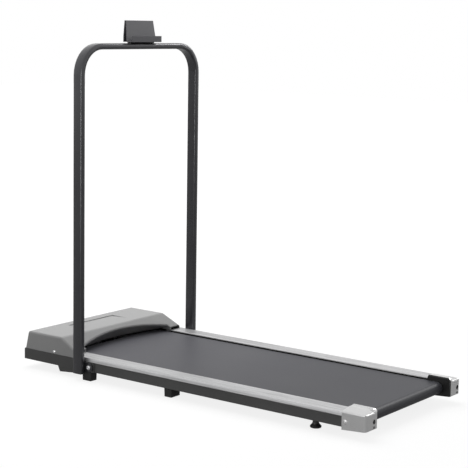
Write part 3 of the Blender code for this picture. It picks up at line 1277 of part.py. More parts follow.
def phone_holder():
    """A folded steel sheet: a lip and floor for the phone, a leaning, narrowing back and a rear leg."""
    y = place_y(HANDRAIL_PLACE)
    half = HOLDER_SHEET / 2
    base = HANDRAIL_HEIGHT + 2 * GAP + HOLDER_SEAT[2]
    floor = base + half
    ridge = HANDRAIL_HEIGHT + HOLDER_RISE - half
    lip = y + HOLDER_LIP_OFFSET + half
    ridge_y = y + HOLDER_RIDGE_OFFSET
    path = ((lip, base + HOLDER_LIP_HEIGHT), (lip, floor), (y + HOLDER_PLATE_FOOT_OFFSET, floor),
            (ridge_y - HOLDER_RIDGE / 2, ridge), (ridge_y + HOLDER_RIDGE / 2, ridge),
            (y + HOLDER_LEG_OFFSET, base + GAP))
    bottom_half = HOLDER_WIDTH / 2
    top_half = HOLDER_TOP_WIDTH / 2
    holder = prism("phone_holder", sheet_outline(path, HOLDER_SHEET), "x", -bottom_half, bottom_half,
                   STEEL_BLACK)
    narrow_from = base + HOLDER_LIP_HEIGHT
    top = ridge + half
    front_view = ((-bottom_half, base - BEYOND), (bottom_half, base - BEYOND), (bottom_half, narrow_from),
                  (top_half, top), (top_half, top + BEYOND), (-top_half, top + BEYOND), (-top_half, top),
                  (-bottom_half, narrow_from))
    return combine(holder, (prism("front_view", front_view, "y", y - BEYOND, y + BEYOND),), "INTERSECT")


for old in list(bpy.data.objects):
    bpy.data.objects.remove(old)

rear_centre = (0, place_y(REAR_ROLLER_PLACE), ROLLER_HEIGHT)
front_centre = (0, place_y(FRONT_ROLLER_PLACE), ROLLER_HEIGHT)
motor_centre = (0, place_y(MOTOR_PLACE), MOTOR_HEIGHT)
for cross_name, cross_place in (("rear", REAR_CROSS_PLACE), ("middle", MIDDLE_CROSS_PLACE),
                                ("front", FRONT_CROSS_PLACE)):
    cross_member(cross_name + "_cross_member", cross_place)
    for left_right in (-1, 1):
        deck_pad(left_right, cross_name, cross_place)
deck_board()
belt_loop("running_belt", (*rear_centre[1:], ROLLER_RADIUS), (*front_centre[1:], ROLLER_RADIUS),
          BELT_THICKNESS, -BELT_HALF, BELT_HALF, BELT_PVC)
roller("rear_roller", rear_centre)
roller("front_roller", front_centre)
rear_axle(rear_centre)
front_axle(front_centre)
pulley("roller_pulley", front_centre, ROLLER_PULLEY_RADIUS, AXLE_RADIUS + RUNNING_GAP,
       ROLLER_HALF + GAP, ROLLER_PULLEY_HUB, BLACK_PLASTIC)
pulley("motor_pulley", motor_centre, MOTOR_PULLEY_RADIUS, MOTOR_SHAFT_RADIUS + GAP,
       PULLEY_X - MOTOR_PULLEY_HUB_LENGTH, MOTOR_PULLEY_HUB, BRIGHT_STEEL)
belt_start = PULLEY_X + (PULLEY_WIDTH - DRIVE_BELT_WIDTH) / 2
belt_loop("drive_belt", (*motor_centre[1:], MOTOR_PULLEY_RADIUS), (*front_centre[1:], ROLLER_PULLEY_RADIUS),
          DRIVE_BELT_THICKNESS, belt_start, belt_start + DRIVE_BELT_WIDTH, RUBBER)
motor_shaft(motor_centre)
drive_motor(motor_centre)
motor_cradle(motor_centre)
controller_box()
motor_tray()
motor_cover()
belt_lip()
power_inlet()
switch_housing()
switch_rocker()
handrail()
holder_seat()
phone_holder()
for left_right in (-1, 1):
    side_frame(left_right)
    side_rail(left_right)
    end_cap(left_right)
    tension_bolt(left_right)
    roller_bearing(left_right, "rear_roller", rear_centre)
    roller_bearing(left_right, "front_roller", front_centre)
    front_bracket(left_right)
    transport_wheel(left_right)
    wheel_axle(left_right)
    block_foot(named(left_right, "front_foot"),
               left_right * (HALF_WIDTH - FRONT_FOOT_INSET - FRONT_FOOT_SIZE[0] / 2),
               PIVOT_PLACE + FRONT_FOOT_PAST_PIVOT, FRONT_FOOT_SIZE)
    block_foot(named(left_right, "middle_foot"),
               left_right * (HALF_WIDTH - MIDDLE_FOOT_INSET - MIDDLE_FOOT_SIZE[0] / 2),
               MIDDLE_FOOT_PLACE, MIDDLE_FOOT_SIZE)
    levelling_foot(left_right)
    pivot_bracket(left_right)
    pivot_bolt(left_right)
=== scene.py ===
"""The looks of the folding treadmill: its finishes, small fasteners, light and camera."""

import math

import bmesh
import bpy
from mathutils import Matrix, Vector


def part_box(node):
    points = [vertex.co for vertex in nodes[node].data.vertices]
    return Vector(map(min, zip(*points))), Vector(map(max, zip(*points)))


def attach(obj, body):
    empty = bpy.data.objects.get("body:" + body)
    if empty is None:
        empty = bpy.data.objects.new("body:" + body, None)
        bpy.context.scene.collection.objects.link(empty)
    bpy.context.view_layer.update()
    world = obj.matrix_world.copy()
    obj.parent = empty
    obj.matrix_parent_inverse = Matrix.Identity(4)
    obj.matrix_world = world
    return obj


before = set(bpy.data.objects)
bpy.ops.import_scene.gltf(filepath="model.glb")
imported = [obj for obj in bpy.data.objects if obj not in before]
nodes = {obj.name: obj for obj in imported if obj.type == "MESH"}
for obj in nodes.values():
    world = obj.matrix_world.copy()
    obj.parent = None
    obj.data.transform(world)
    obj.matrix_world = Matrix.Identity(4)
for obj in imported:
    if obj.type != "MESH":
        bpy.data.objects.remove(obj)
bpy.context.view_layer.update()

# The camera stands behind and to the left of the machine, level with the top of the phone holder.
# A long lens from about four metres away keeps the two uprights almost parallel.
# The machine lies low, so the lens is shifted down instead of being tipped further.
CAMERA_PLACE = (-3.1337, -2.3455, 1.0310)
CAMERA_HEADING = 53.11
CAMERA_TILT = -6.70
CAMERA_ROLL = 0.86
CAMERA_LENS = 106.85
CAMERA_SENSOR = 36.0
CAMERA_SHIFT = -0.1004
CAMERA_REACH = 60.0


def place_in_scene(made):
    """Link a new object to the scene's own collection."""
    bpy.context.scene.collection.objects.link(made)


camera_data = bpy.data.cameras.new("camera")
camera_data.sensor_width = CAMERA_SENSOR
camera_data.lens = CAMERA_LENS
camera_data.shift_y = CAMERA_SHIFT
camera_data.clip_end = CAMERA_REACH
camera = bpy.data.objects.new("camera", camera_data)
place_in_scene(camera)
camera.matrix_world = (Matrix.Translation(CAMERA_PLACE)
                       @ Matrix.Rotation(math.radians(-CAMERA_HEADING), 4, "Z")
                       @ Matrix.Rotation(math.radians(90 + CAMERA_TILT), 4, "X")
                       @ Matrix.Rotation(math.radians(CAMERA_ROLL), 4, "Z"))
bpy.context.scene.camera = camera
bpy.context.scene.view_settings.view_transform = "Standard"

# The studio: a white sweep under one wide soft lamp, with a narrow strip lamp on each side.
# The room reads white to the lens and in reflections, and gives only a low fill light.
# The floor keeps the machine's soft shadow, and glows: pale near the machine, white further out.
WHITE = (1, 1, 1, 1)
FILL_LIGHT = 0.27
FLOOR_HALF = 14.0
FLOOR_COLOUR = 0.27
GLOW_RISES_FROM = 1.0
GLOW_RISES_TO = 3.2
FLOOR_GLOW_NEAR = 0.845
FLOOR_GLOW_FAR = 1.0
FLOOR_MIRRORED_GLOW = 0.27


def link(tree, source, target):
    """Join two sockets of a node tree."""
    tree.links.new(source, target)


def maths(tree, operation, first, second=0.0):
    """A Math node on one or two inputs, each a socket or a number."""
    made = tree.nodes.new("ShaderNodeMath")
    made.operation = operation
    for number, value in enumerate((first, second)):
        if isinstance(value, (int, float)):
            made.inputs[number].default_value = value
        else:
            link(tree, value, made.inputs[number])
    return made.outputs[0]


def spread(tree, value, low, high, to_low, to_high):
    """A value mapped from one range to another and held inside it."""
    made = tree.nodes.new("ShaderNodeMapRange")
    link(tree, value, made.inputs["Value"])
    limits = {"From Min": low, "From Max": high, "To Min": to_low, "To Max": to_high}
    for name, number in limits.items():
        made.inputs[name].default_value = number
    return made.outputs["Result"]


def area_lamp(name, place, target, size, power, highlights):
    """A lamp that the lens doesn't see, and that gives either soft light or only highlights."""
    lamp_data = bpy.data.lights.new(name, "AREA")
    lamp_data.shape = "RECTANGLE"
    lamp_data.size, lamp_data.size_y = size
    lamp_data.energy = power
    lamp = bpy.data.objects.new(name, lamp_data)
    place_in_scene(lamp)
    lamp.location = place
    lamp.rotation_euler = (Vector(target) - Vector(place)).to_track_quat("-Z", "Y").to_euler()
    lamp.visible_camera = False
    lamp.visible_diffuse = not highlights
    lamp.visible_glossy = highlights


room = bpy.data.worlds.new("studio")
room.use_nodes = True
bpy.context.scene.world = room
tree = room.node_tree
background = tree.nodes["Background"]
background.inputs["Color"].default_value = WHITE
rays = tree.nodes.new("ShaderNodeLightPath")
seen = maths(tree, "MAXIMUM", rays.outputs["Is Camera Ray"], rays.outputs["Is Glossy Ray"])
seen = maths(tree, "MAXIMUM", seen, rays.outputs["Is Transmission Ray"])
link(tree, spread(tree, seen, 0.0, 1.0, FILL_LIGHT, 1.0), background.inputs["Strength"])

floor_mesh = bpy.data.meshes.new("studio_floor")
corners = [(x * FLOOR_HALF, y * FLOOR_HALF, 0) for x, y in ((-1, -1), (1, -1), (1, 1), (-1, 1))]
floor_mesh.from_pydata(corners, [], [(0, 1, 2, 3)])
floor = bpy.data.objects.new("studio_floor", floor_mesh)
place_in_scene(floor)
floor_paint = bpy.data.materials.new("studio_floor")
floor_paint.use_nodes = True
tree = floor_paint.node_tree
tree.nodes.clear()
output = tree.nodes.new("ShaderNodeOutputMaterial")
matt = tree.nodes.new("ShaderNodeBsdfDiffuse")
matt.inputs["Color"].default_value = (FLOOR_COLOUR, FLOOR_COLOUR, FLOOR_COLOUR, 1)
glow = tree.nodes.new("ShaderNodeEmission")
glow.inputs["Color"].default_value = WHITE
both = tree.nodes.new("ShaderNodeAddShader")
rays = tree.nodes.new("ShaderNodeLightPath")
ground = tree.nodes.new("ShaderNodeTexCoord")
distance = tree.nodes.new("ShaderNodeVectorMath")
distance.operation = "LENGTH"
link(tree, ground.outputs["Object"], distance.inputs[0])
outwards = spread(tree, distance.outputs["Value"], GLOW_RISES_FROM, GLOW_RISES_TO,
                  FLOOR_GLOW_NEAR, FLOOR_GLOW_FAR)
to_lens = maths(tree, "MULTIPLY", rays.outputs["Is Camera Ray"], outwards)
in_mirror = maths(tree, "MULTIPLY", rays.outputs["Is Glossy Ray"], FLOOR_MIRRORED_GLOW)
link(tree, maths(tree, "ADD", to_lens, in_mirror), glow.inputs["Strength"])
link(tree, matt.outputs[0], both.inputs[0])
link(tree, glow.outputs[0], both.inputs[1])
link(tree, both.outputs[0], output.inputs["Surface"])
floor_mesh.materials.append(floor_paint)

area_lamp("lamp_overhead", place=(0.5, 1.4, 3.0), target=(0, 0.1, 0),
          size=(3.6, 3.6), power=66, highlights=False)
area_lamp("lamp_left_strip", place=(-2.4, -0.3, 0.75), target=(-0.25, 0.35, 0.55),
          size=(0.22, 1.10), power=14, highlights=True)
area_lamp("lamp_right", place=(2.56, -0.93, 2.05), target=(0, -0.6, 0.1),
          size=(0.35, 1.2), power=30, highlights=True)

# The frame: two oblong steel tubes, three cross members, the front plates and the motor's saddle.
# All are welded or bolted steel with a satin black powder coat, which has a fine orange-peel skin.
# The same coat is on the plates that the handrail's lugs turn against.
PLATE_EDGE = 0.0004
SADDLE_EDGE = 0.0003
SHARP_ABOVE = 32.0
FLAT_WITHIN = 0.3
WELD_GAP = 0.00001
NOISE_RANGE = (0.36, 0.64)

shading = bpy.data.node_groups.new("smooth_curved_faces", "GeometryNodeTree")
for direction in ("INPUT", "OUTPUT"):
    shading.interface.new_socket("Geometry", in_out=direction, socket_type="NodeSocketGeometry")
came_in = shading.nodes.new("NodeGroupInput")
goes_out = shading.nodes.new("NodeGroupOutput")
fold = shading.nodes.new("GeometryNodeInputMeshEdgeAngle")
sharp = shading.nodes.new("FunctionNodeCompare")
sharp.data_type = "FLOAT"
sharp.operation = "GREATER_THAN"
sharp.inputs["B"].default_value = math.radians(SHARP_ABOVE)
normals = shading.nodes.new("GeometryNodeSetMeshNormal")
normals.mode = "SHARPNESS"
normals.inputs["Remove Custom"].default_value = True
link(shading, fold.outputs["Unsigned Angle"], sharp.inputs["A"])
link(shading, came_in.outputs[0], normals.inputs[0])
link(shading, sharp.outputs[0], normals.inputs["Edge Sharpness"])
link(shading, normals.outputs[0], goes_out.inputs[0])


def refine(made, edge, flat_sides):
    """Join a faceted mesh, shade its curved faces smooth, and break its sharp edges by a width."""
    weld = made.modifiers.new("weld", "WELD")
    weld.merge_threshold = WELD_GAP
    flat = made.modifiers.new("flat_faces", "DECIMATE")
    flat.decimate_type = "DISSOLVE"
    flat.angle_limit = math.radians(FLAT_WITHIN)
    shade = made.modifiers.new("shading", "NODES")
    shade.node_group = shading
    if flat_sides:
        even = made.modifiers.new("even_faces", "WEIGHTED_NORMAL")
        even.keep_sharp = True
        even.weight = 100
    if edge:
        bevel = made.modifiers.new("broken_edges", "BEVEL")
        bevel.width = edge
        bevel.segments = 2
        bevel.limit_method = "ANGLE"
        bevel.angle_limit = math.radians(SHARP_ABOVE)
        bevel.harden_normals = True


def dress(finish, names, edge=0.0, flat_sides=True):
    """Give CAD nodes a finish, smooth shading and, with an edge width, slightly broken edges."""
    for name in names:
        made = nodes[name]
        for holder in made.material_slots:
            holder.material = finish
        refine(made, edge, flat_sides)


def both_sides(*names):
    """The names of the left and right nodes of each pair."""
    return [name + side for name in names for side in ("_left", "_right")]


def principled(finish):
    """A finish's own shader node."""
    return finish.node_tree.nodes["Principled BSDF"]


def skin(name, dark, light, rough, patch, grit, dent, metal=0.0, stretch=(1, 1, 1)):
    """A finish whose tone and roughness drift in broad patches and a fine, raised grit.

    patch and grit are how fine the two noises are, and dent is the grit's height in metres.
    """
    made = bpy.data.materials.new(name)
    made.use_nodes = True
    tree = made.node_tree
    shader = principled(made)
    shader.inputs["Metallic"].default_value = metal
    ground = tree.nodes.new("ShaderNodeTexCoord")
    place = tree.nodes.new("ShaderNodeMapping")
    place.inputs["Scale"].default_value = stretch
    link(tree, ground.outputs["Object"], place.inputs["Vector"])
    noises = []
    for scale, detail in ((patch, 3.0), (grit, 2.0)):
        noise = tree.nodes.new("ShaderNodeTexNoise")
        noise.inputs["Scale"].default_value = scale
        noise.inputs["Detail"].default_value = detail
        link(tree, place.outputs["Vector"], noise.inputs["Vector"])
        noises.append(noise.outputs["Fac"])
    blend = maths(tree, "MULTIPLY", maths(tree, "ADD", *noises), 0.5)
    tone = tree.nodes.new("ShaderNodeValToRGB")
    for stop, position, colour in zip(tone.color_ramp.elements, NOISE_RANGE, (dark, light)):
        stop.position = position
        stop.color = (*colour, 1)
    link(tree, blend, tone.inputs["Fac"])
    link(tree, tone.outputs["Color"], shader.inputs["Base Color"])
    link(tree, spread(tree, blend, *NOISE_RANGE, *rough), shader.inputs["Roughness"])
    raised = tree.nodes.new("ShaderNodeBump")
    raised.name = "raised"
    raised.inputs["Strength"].default_value = 0.35
    raised.inputs["Distance"].default_value = dent
    link(tree, noises[1], raised.inputs["Height"])
    link(tree, raised.outputs["Normal"], shader.inputs["Normal"])
    return made


powder_coat = skin("powder_coat", dark=(0.127, 0.127, 0.126), light=(0.175, 0.175, 0.174),
                   rough=(0.38, 0.52), patch=5.0, grit=1100.0, dent=0.00005)
principled(powder_coat).inputs["Specular IOR Level"].default_value = 0.42
dress(powder_coat, both_sides("side_frame"))
dress(powder_coat, both_sides("front_bracket", "pivot_bracket"), edge=PLATE_EDGE)
dress(powder_coat, [place + "_cross_member" for place in ("rear", "middle", "front")])
dress(powder_coat, ["motor_cradle"], edge=SADDLE_EDGE)

# The deck: a pressed board with a black slippery film on its faces and bare brown edges.
# It lies on six small rubber cushions on the cross members, and the belt slides over it.
BOARD_BROWN = (0.16, 0.095, 0.050)
BOARD_ROUNDING = 0.0004
FACING_LIMIT = 0.5


def facing(tree, axis):
    """How far a surface faces along one of the machine's axes, as a socket."""
    surface = tree.nodes.new("ShaderNodeNewGeometry")
    parts = tree.nodes.new("ShaderNodeSeparateXYZ")
    link(tree, surface.outputs["True Normal"], parts.inputs[0])
    return parts.outputs[axis]


def shift_tone(finish, mask, colour):
    """Blend a finish's colour towards another where a mask is one."""
    tree = finish.node_tree
    base = principled(finish).inputs["Base Color"]
    mix = tree.nodes.new("ShaderNodeMix")
    mix.data_type = "RGBA"
    link(tree, mask, mix.inputs[0])
    link(tree, base.links[0].from_socket, mix.inputs[6])
    mix.inputs[7].default_value = (*colour, 1)
    link(tree, mix.outputs[2], base)


board_finish = skin("board_film", dark=(0.022, 0.021, 0.020), light=(0.034, 0.033, 0.031),
                    rough=(0.34, 0.50), patch=14.0, grit=600.0, dent=0.00003)
tree = board_finish.node_tree
edge_on = maths(tree, "LESS_THAN", maths(tree, "ABSOLUTE", facing(tree, "Z")), FACING_LIMIT)
shift_tone(board_finish, edge_on, BOARD_BROWN)
dress(board_finish, ["deck_board"], edge=BOARD_ROUNDING)
cushion_rubber = skin("cushion_rubber", dark=(0.014, 0.014, 0.014), light=(0.024, 0.024, 0.024),
                      rough=(0.75, 0.90), patch=40.0, grit=700.0, dent=0.00006)
dress(cushion_rubber, both_sides(*[place + "_deck_pad" for place in ("rear", "middle", "front")]))

# The rollers, their bearings and axles: turned steel tube and bar, zinc plated.
# Fine turning marks run round them, so the roughness changes mostly along their axis.
RACE_EDGE = 0.0003
turned_steel = skin("turned_steel", dark=(0.46, 0.46, 0.47), light=(0.66, 0.66, 0.67),
                    rough=(0.20, 0.34), patch=60.0, grit=1600.0, dent=0.00002, metal=1.0,
                    stretch=(1.0, 0.04, 0.04))
dress(turned_steel, ["rear_roller", "front_roller", "rear_roller_axle", "front_roller_axle",
                     "motor_shaft", "motor_pulley"])
dress(turned_steel, both_sides("wheel_axle"))
race_steel = skin("race_steel", dark=(0.52, 0.52, 0.53), light=(0.70, 0.70, 0.71),
                  rough=(0.14, 0.24), patch=90.0, grit=1500.0, dent=0.00001, metal=1.0)
dress(race_steel, both_sides("rear_roller_bearing", "front_roller_bearing"), edge=RACE_EDGE)

# The running belt: black PVC on a woven carrier, with a fine diamond pattern pressed into it.
# It is one endless loop, tight round two rollers. Its colour turns paler towards the front: a
# painted sheen.
# The cut edges show the lighter carrier.
BELT_SHEEN_TONE = (0.140, 0.140, 0.156)
BELT_CARRIER = (0.20, 0.20, 0.20)
BELT_PATTERN = 150.0
BELT_PATTERN_DEPTH = 0.00012
BELT_CUT_DEPTH = 0.0003
SHEEN_FROM = -0.35
SHEEN_TO = 0.35
SHEEN_SHARE = 0.7


def along(tree, axis):
    """The distance along one of the machine's axes, as a socket."""
    ground = tree.nodes.new("ShaderNodeTexCoord")
    parts = tree.nodes.new("ShaderNodeSeparateXYZ")
    link(tree, ground.outputs["Object"], parts.inputs[0])
    return parts.outputs[axis]


def press(finish, height, strength, depth):
    """Press a coarser relief into a finish, under its grit. A height of 1 is depth metres."""
    tree = finish.node_tree
    relief = tree.nodes.new("ShaderNodeBump")
    relief.inputs["Strength"].default_value = strength
    relief.inputs["Distance"].default_value = depth
    link(tree, height, relief.inputs["Height"])
    link(tree, relief.outputs["Normal"], tree.nodes["raised"].inputs["Normal"])


belt_finish = skin("belt_pvc", dark=(0.048, 0.049, 0.057), light=(0.069, 0.070, 0.081),
                   rough=(0.45, 0.54), patch=4.0, grit=1300.0, dent=0.00006)
tree = belt_finish.node_tree
ground = tree.nodes.new("ShaderNodeTexCoord")
diagonal = tree.nodes.new("ShaderNodeMapping")
diagonal.inputs["Rotation"].default_value = (0, 0, math.radians(45))
link(tree, ground.outputs["Object"], diagonal.inputs["Vector"])
ridges = []
for direction in ("X", "Y"):
    wave = tree.nodes.new("ShaderNodeTexWave")
    wave.bands_direction = direction
    wave.inputs["Scale"].default_value = BELT_PATTERN
    link(tree, diagonal.outputs["Vector"], wave.inputs["Vector"])
    ridges.append(wave.outputs["Fac"])
press(belt_finish, maths(tree, "MULTIPLY", *ridges), strength=0.30, depth=BELT_PATTERN_DEPTH)
# A painted sheen: the belt's colour turns paler and bluer towards the front.
painted_sheen = spread(tree, along(tree, "Y"), SHEEN_FROM, SHEEN_TO, 0.0, SHEEN_SHARE)
shift_tone(belt_finish, painted_sheen, BELT_SHEEN_TONE)
belt_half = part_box("running_belt")[1][0]
from_middle = maths(tree, "ABSOLUTE", along(tree, "X"))
cut_edge = maths(tree, "GREATER_THAN", from_middle, belt_half - BELT_CUT_DEPTH)
shift_tone(belt_finish, cut_edge, BELT_CARRIER)
principled(belt_finish).inputs["Specular IOR Level"].default_value = 0.26
dress(belt_finish, ["running_belt"])

# The side rails: aluminium extrusions, brushed along their length and clear anodised.
# They cover the belt's edges, and the walker steps on them to get on and off.
RAIL_EDGE = 0.0002
rail_finish = skin("brushed_aluminium", dark=(0.43, 0.43, 0.435), light=(0.70, 0.70, 0.705),
                   rough=(0.34, 0.50), patch=260.0, grit=1500.0, dent=0.00003, metal=1.0,
                   stretch=(1.0, 0.010, 1.0))
dress(rail_finish, both_sides("side_rail"), edge=RAIL_EDGE)

# The end caps: moulded plastic with a silver metallic paint, one over each rear corner.
# A screw through the outer side holds each to the frame; the one deep in the rear face is not
# drawn.
# The inner faces, beside the belt, are coloured plain black and are not metallic.
CAP_METAL = 0.50
CAP_INNER_BLACK = (0.020, 0.020, 0.020)
CAP_SCREW_FROM_REAR = 0.062
CAP_SCREW_UP = 0.022
CAP_SCREW_RADIUS = 0.0060
CAP_SCREW_PROUD = 0.0028
SIDES = ((-1, "left"), (1, "right"))
TURN_STEPS = 24
HEAD_CURVE = ((0.15, 1.0), (0.45, 0.93), (0.78, 0.76), (0.95, 0.58))
SEAT_DEPTH = 0.0006
SEAT_SHARE = 0.90
SOCKET_SHARE = 0.42
SOCKET_FLOOR = 0.25
FLOOR_SHARE = 0.15
cap_paint = skin("silver_cap_paint", dark=(0.70, 0.70, 0.70), light=(0.84, 0.84, 0.84),
                 rough=(0.26, 0.36), patch=5.0, grit=1500.0, dent=0.00005, metal=CAP_METAL)
tree = cap_paint.node_tree
# Faces turned in towards the belt are coloured black and are not metallic.
side_sign = maths(tree, "SIGN", along(tree, "X"))
outwards = maths(tree, "MULTIPLY", facing(tree, "X"), side_sign)
inner_face = maths(tree, "LESS_THAN", outwards, -FACING_LIMIT)
shift_tone(cap_paint, inner_face, CAP_INNER_BLACK)
painted = maths(tree, "MULTIPLY", maths(tree, "SUBTRACT", 1.0, inner_face), CAP_METAL)
link(tree, painted, principled(cap_paint).inputs["Metallic"])
dress(cap_paint, both_sides("end_cap"))
screw_finish = skin("screw_zinc", dark=(0.82, 0.82, 0.82), light=(0.94, 0.94, 0.94),
                    rough=(0.16, 0.28), patch=120.0, grit=1800.0, dent=0.00001, metal=0.6)


def lathe(name, profile, place, outward, finish, socket):
    """Turn a profile of (height, radius) about a line, six-sided inside the socket's radius."""
    turn = Vector(outward).to_track_quat("Z", "Y").to_matrix().to_4x4()
    turn.translation = Vector(place)
    half_flat = math.pi / 6
    bm = bmesh.new()
    rings = []
    for height, radius in profile:
        ring = []
        for step in range(TURN_STEPS):
            angle = 2 * math.pi * step / TURN_STEPS
            reach = radius
            if radius <= socket:
                from_flat = angle % (2 * half_flat) - half_flat
                reach = radius * math.cos(half_flat) / math.cos(from_flat)
            point = Vector((reach * math.cos(angle), reach * math.sin(angle), height))
            ring.append(bm.verts.new(turn @ point))
        rings.append(ring)
    for ring, beside in zip(rings, rings[1:]):
        for step in range(TURN_STEPS):
            follow = (step + 1) % TURN_STEPS
            bm.faces.new((ring[step], ring[follow], beside[follow], beside[step]))
    bm.faces.new(rings[0])
    bm.faces.new(rings[-1])
    bmesh.ops.recalc_face_normals(bm, faces=bm.faces)
    mesh = bpy.data.meshes.new(name)
    bm.to_mesh(mesh)
    bm.free()
    mesh.shade_smooth()
    mesh.set_sharp_from_angle(angle=math.radians(SHARP_ABOVE))
    mesh.materials.append(finish)
    made = bpy.data.objects.new(name, mesh)
    place_in_scene(made)
    return made


def screw(name, place, outward, radius, proud, body="base"):
    """A button-head screw with a six-sided socket, its seat a little inside the surface."""
    socket = radius * SOCKET_SHARE
    profile = [(-SEAT_DEPTH, radius * SEAT_SHARE), (-SEAT_DEPTH, radius)]
    profile += [(proud * height, radius * share) for height, share in HEAD_CURVE]
    profile += [(proud, socket), (proud * SOCKET_FLOOR, socket),
                (proud * SOCKET_FLOOR, socket * FLOOR_SHARE)]
    made = lathe(name, profile, place, outward, screw_finish, socket)
    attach(made, body)


cap_low, cap_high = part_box("end_cap_right")
for side, side_name in SIDES:
    place = (side * cap_high[0], cap_low[1] + CAP_SCREW_FROM_REAR, cap_low[2] + CAP_SCREW_UP)
    screw("cap_screw_" + side_name, place, (side, 0, 0), CAP_SCREW_RADIUS, CAP_SCREW_PROUD)

# The belt's tension bolts: socket-head screws of plated steel, behind the caps' rear holes.
# Turning one pulls its end of the rear axle back.
BOLT_EDGE = 0.0002
bolt_finish = skin("bolt_zinc", dark=(0.50, 0.50, 0.51), light=(0.72, 0.72, 0.73),
                   rough=(0.20, 0.32), patch=100.0, grit=1700.0, dent=0.00002, metal=1.0)
dress(bolt_finish, both_sides("tension_bolt"), edge=BOLT_EDGE)

# The motor tray: black injection-moulded plastic with a fine spark-eroded grain.
# Four screws hold it up to the front plates from below.
TRAY_EDGE = 0.0006
TRAY_SCREW_OUT = 0.214
TRAY_SCREW_ROWS = (0.486, 0.556)
TRAY_SCREW_HEIGHT = 0.026
TRAY_SCREW_RADIUS = 0.0042
TRAY_SCREW_PROUD = 0.0016
tray_plastic = skin("tray_plastic", dark=(0.070, 0.070, 0.069), light=(0.100, 0.100, 0.099),
                    rough=(0.46, 0.62), patch=9.0, grit=1200.0, dent=0.00007)
dress(tray_plastic, ["motor_tray"], edge=TRAY_EDGE)
for side, side_name in SIDES:
    for number, row in enumerate(TRAY_SCREW_ROWS, start=1):
        screw(f"tray_screw_{side_name}_{number}", (side * TRAY_SCREW_OUT, row, TRAY_SCREW_HEIGHT),
              (0, 0, -1), TRAY_SCREW_RADIUS, TRAY_SCREW_PROUD)

# The motor cover: the same moulded plastic as the caps, in a darker silver; part of that darkness
# is painted shade.
# It clips over the tray's rim, and one screw on each side holds it.
COVER_SCREW_IN = 0.0015
COVER_SCREW_FROM_REAR = 0.082
COVER_SCREW_UP = 0.0052
COVER_SCREW_RADIUS = 0.0048
COVER_SCREW_PROUD = 0.0024
COVER_DRAFT = 0.20
cover_paint = skin("silver_cover_paint", dark=(0.235, 0.235, 0.235), light=(0.305, 0.305, 0.305),
                   rough=(0.34, 0.46), patch=4.0, grit=1500.0, dent=0.00005, metal=0.15)
principled(cover_paint).inputs["Coat Weight"].default_value = 0.70
principled(cover_paint).inputs["Coat Roughness"].default_value = 0.22
dress(cover_paint, ["motor_cover"])
cover_low, cover_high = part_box("motor_cover")
for side, side_name in SIDES:
    place = (side * (cover_high[0] - COVER_SCREW_IN), cover_low[1] + COVER_SCREW_FROM_REAR,
             cover_low[2] + COVER_SCREW_UP)
    screw("cover_screw_" + side_name, place, (side, 0, COVER_DRAFT),
          COVER_SCREW_RADIUS, COVER_SCREW_PROUD)

# The belt lip: a black moulded trim round the cover's arched opening.
# It closes the gap down to the belt so that nothing is drawn in.
# Its grey is lighter than the black plastic: painted light against the shade it lies in.
lip_plastic_painted_light = skin("lip_plastic_painted_light", dark=(0.18, 0.18, 0.182), light=(0.24, 0.24, 0.242),
                   rough=(0.40, 0.54), patch=12.0, grit=1200.0, dent=0.00006)
dress(lip_plastic_painted_light, ["belt_lip"])

# The drive: a black motor with bare end covers, and a black controller case with cooling fins.
# A ribbed rubber belt runs from the steel motor pulley to the nylon pulley on the front roller.
MOTOR_LENGTH = 0.120
MOTOR_END_COVER = 0.016
MOTOR_SEAM_PAST = 0.0001
MOTOR_BARE_ALLOY = (0.52, 0.52, 0.53)
CONTROLLER_EDGE = 0.0003
RIB_PITCH = 0.0015
motor_finish = skin("motor_can", dark=(0.022, 0.022, 0.023), light=(0.038, 0.038, 0.040),
                    rough=(0.34, 0.46), patch=10.0, grit=900.0, dent=0.00004)
tree = motor_finish.node_tree
motor_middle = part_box("drive_motor")[0][0] + MOTOR_LENGTH / 2
can_half = MOTOR_LENGTH / 2 - MOTOR_END_COVER + MOTOR_SEAM_PAST
from_middle = maths(tree, "ABSOLUTE", maths(tree, "SUBTRACT", along(tree, "X"), motor_middle))
end_cover = maths(tree, "GREATER_THAN", from_middle, can_half)
shift_tone(motor_finish, end_cover, MOTOR_BARE_ALLOY)
link(tree, end_cover, principled(motor_finish).inputs["Metallic"])
dress(motor_finish, ["drive_motor"])
controller_finish = skin("controller_case", dark=(0.026, 0.026, 0.027),
                         light=(0.044, 0.044, 0.046), rough=(0.40, 0.55), patch=20.0, grit=800.0,
                         dent=0.00004, metal=0.35)
dress(controller_finish, ["controller_box"], edge=CONTROLLER_EDGE)
pulley_nylon = skin("pulley_nylon", dark=(0.028, 0.028, 0.029), light=(0.044, 0.044, 0.045),
                    rough=(0.40, 0.52), patch=40.0, grit=900.0, dent=0.00003)
dress(pulley_nylon, ["roller_pulley"])
rib_rubber = skin("ribbed_rubber", dark=(0.014, 0.014, 0.014), light=(0.026, 0.026, 0.026),
                  rough=(0.60, 0.75), patch=30.0, grit=1000.0, dent=0.00004)
tree = rib_rubber.node_tree
ribs = maths(tree, "PINGPONG", along(tree, "X"), RIB_PITCH / 2)
press(rib_rubber, ribs, strength=0.8, depth=1.0)
dress(rib_rubber, ["drive_belt"])

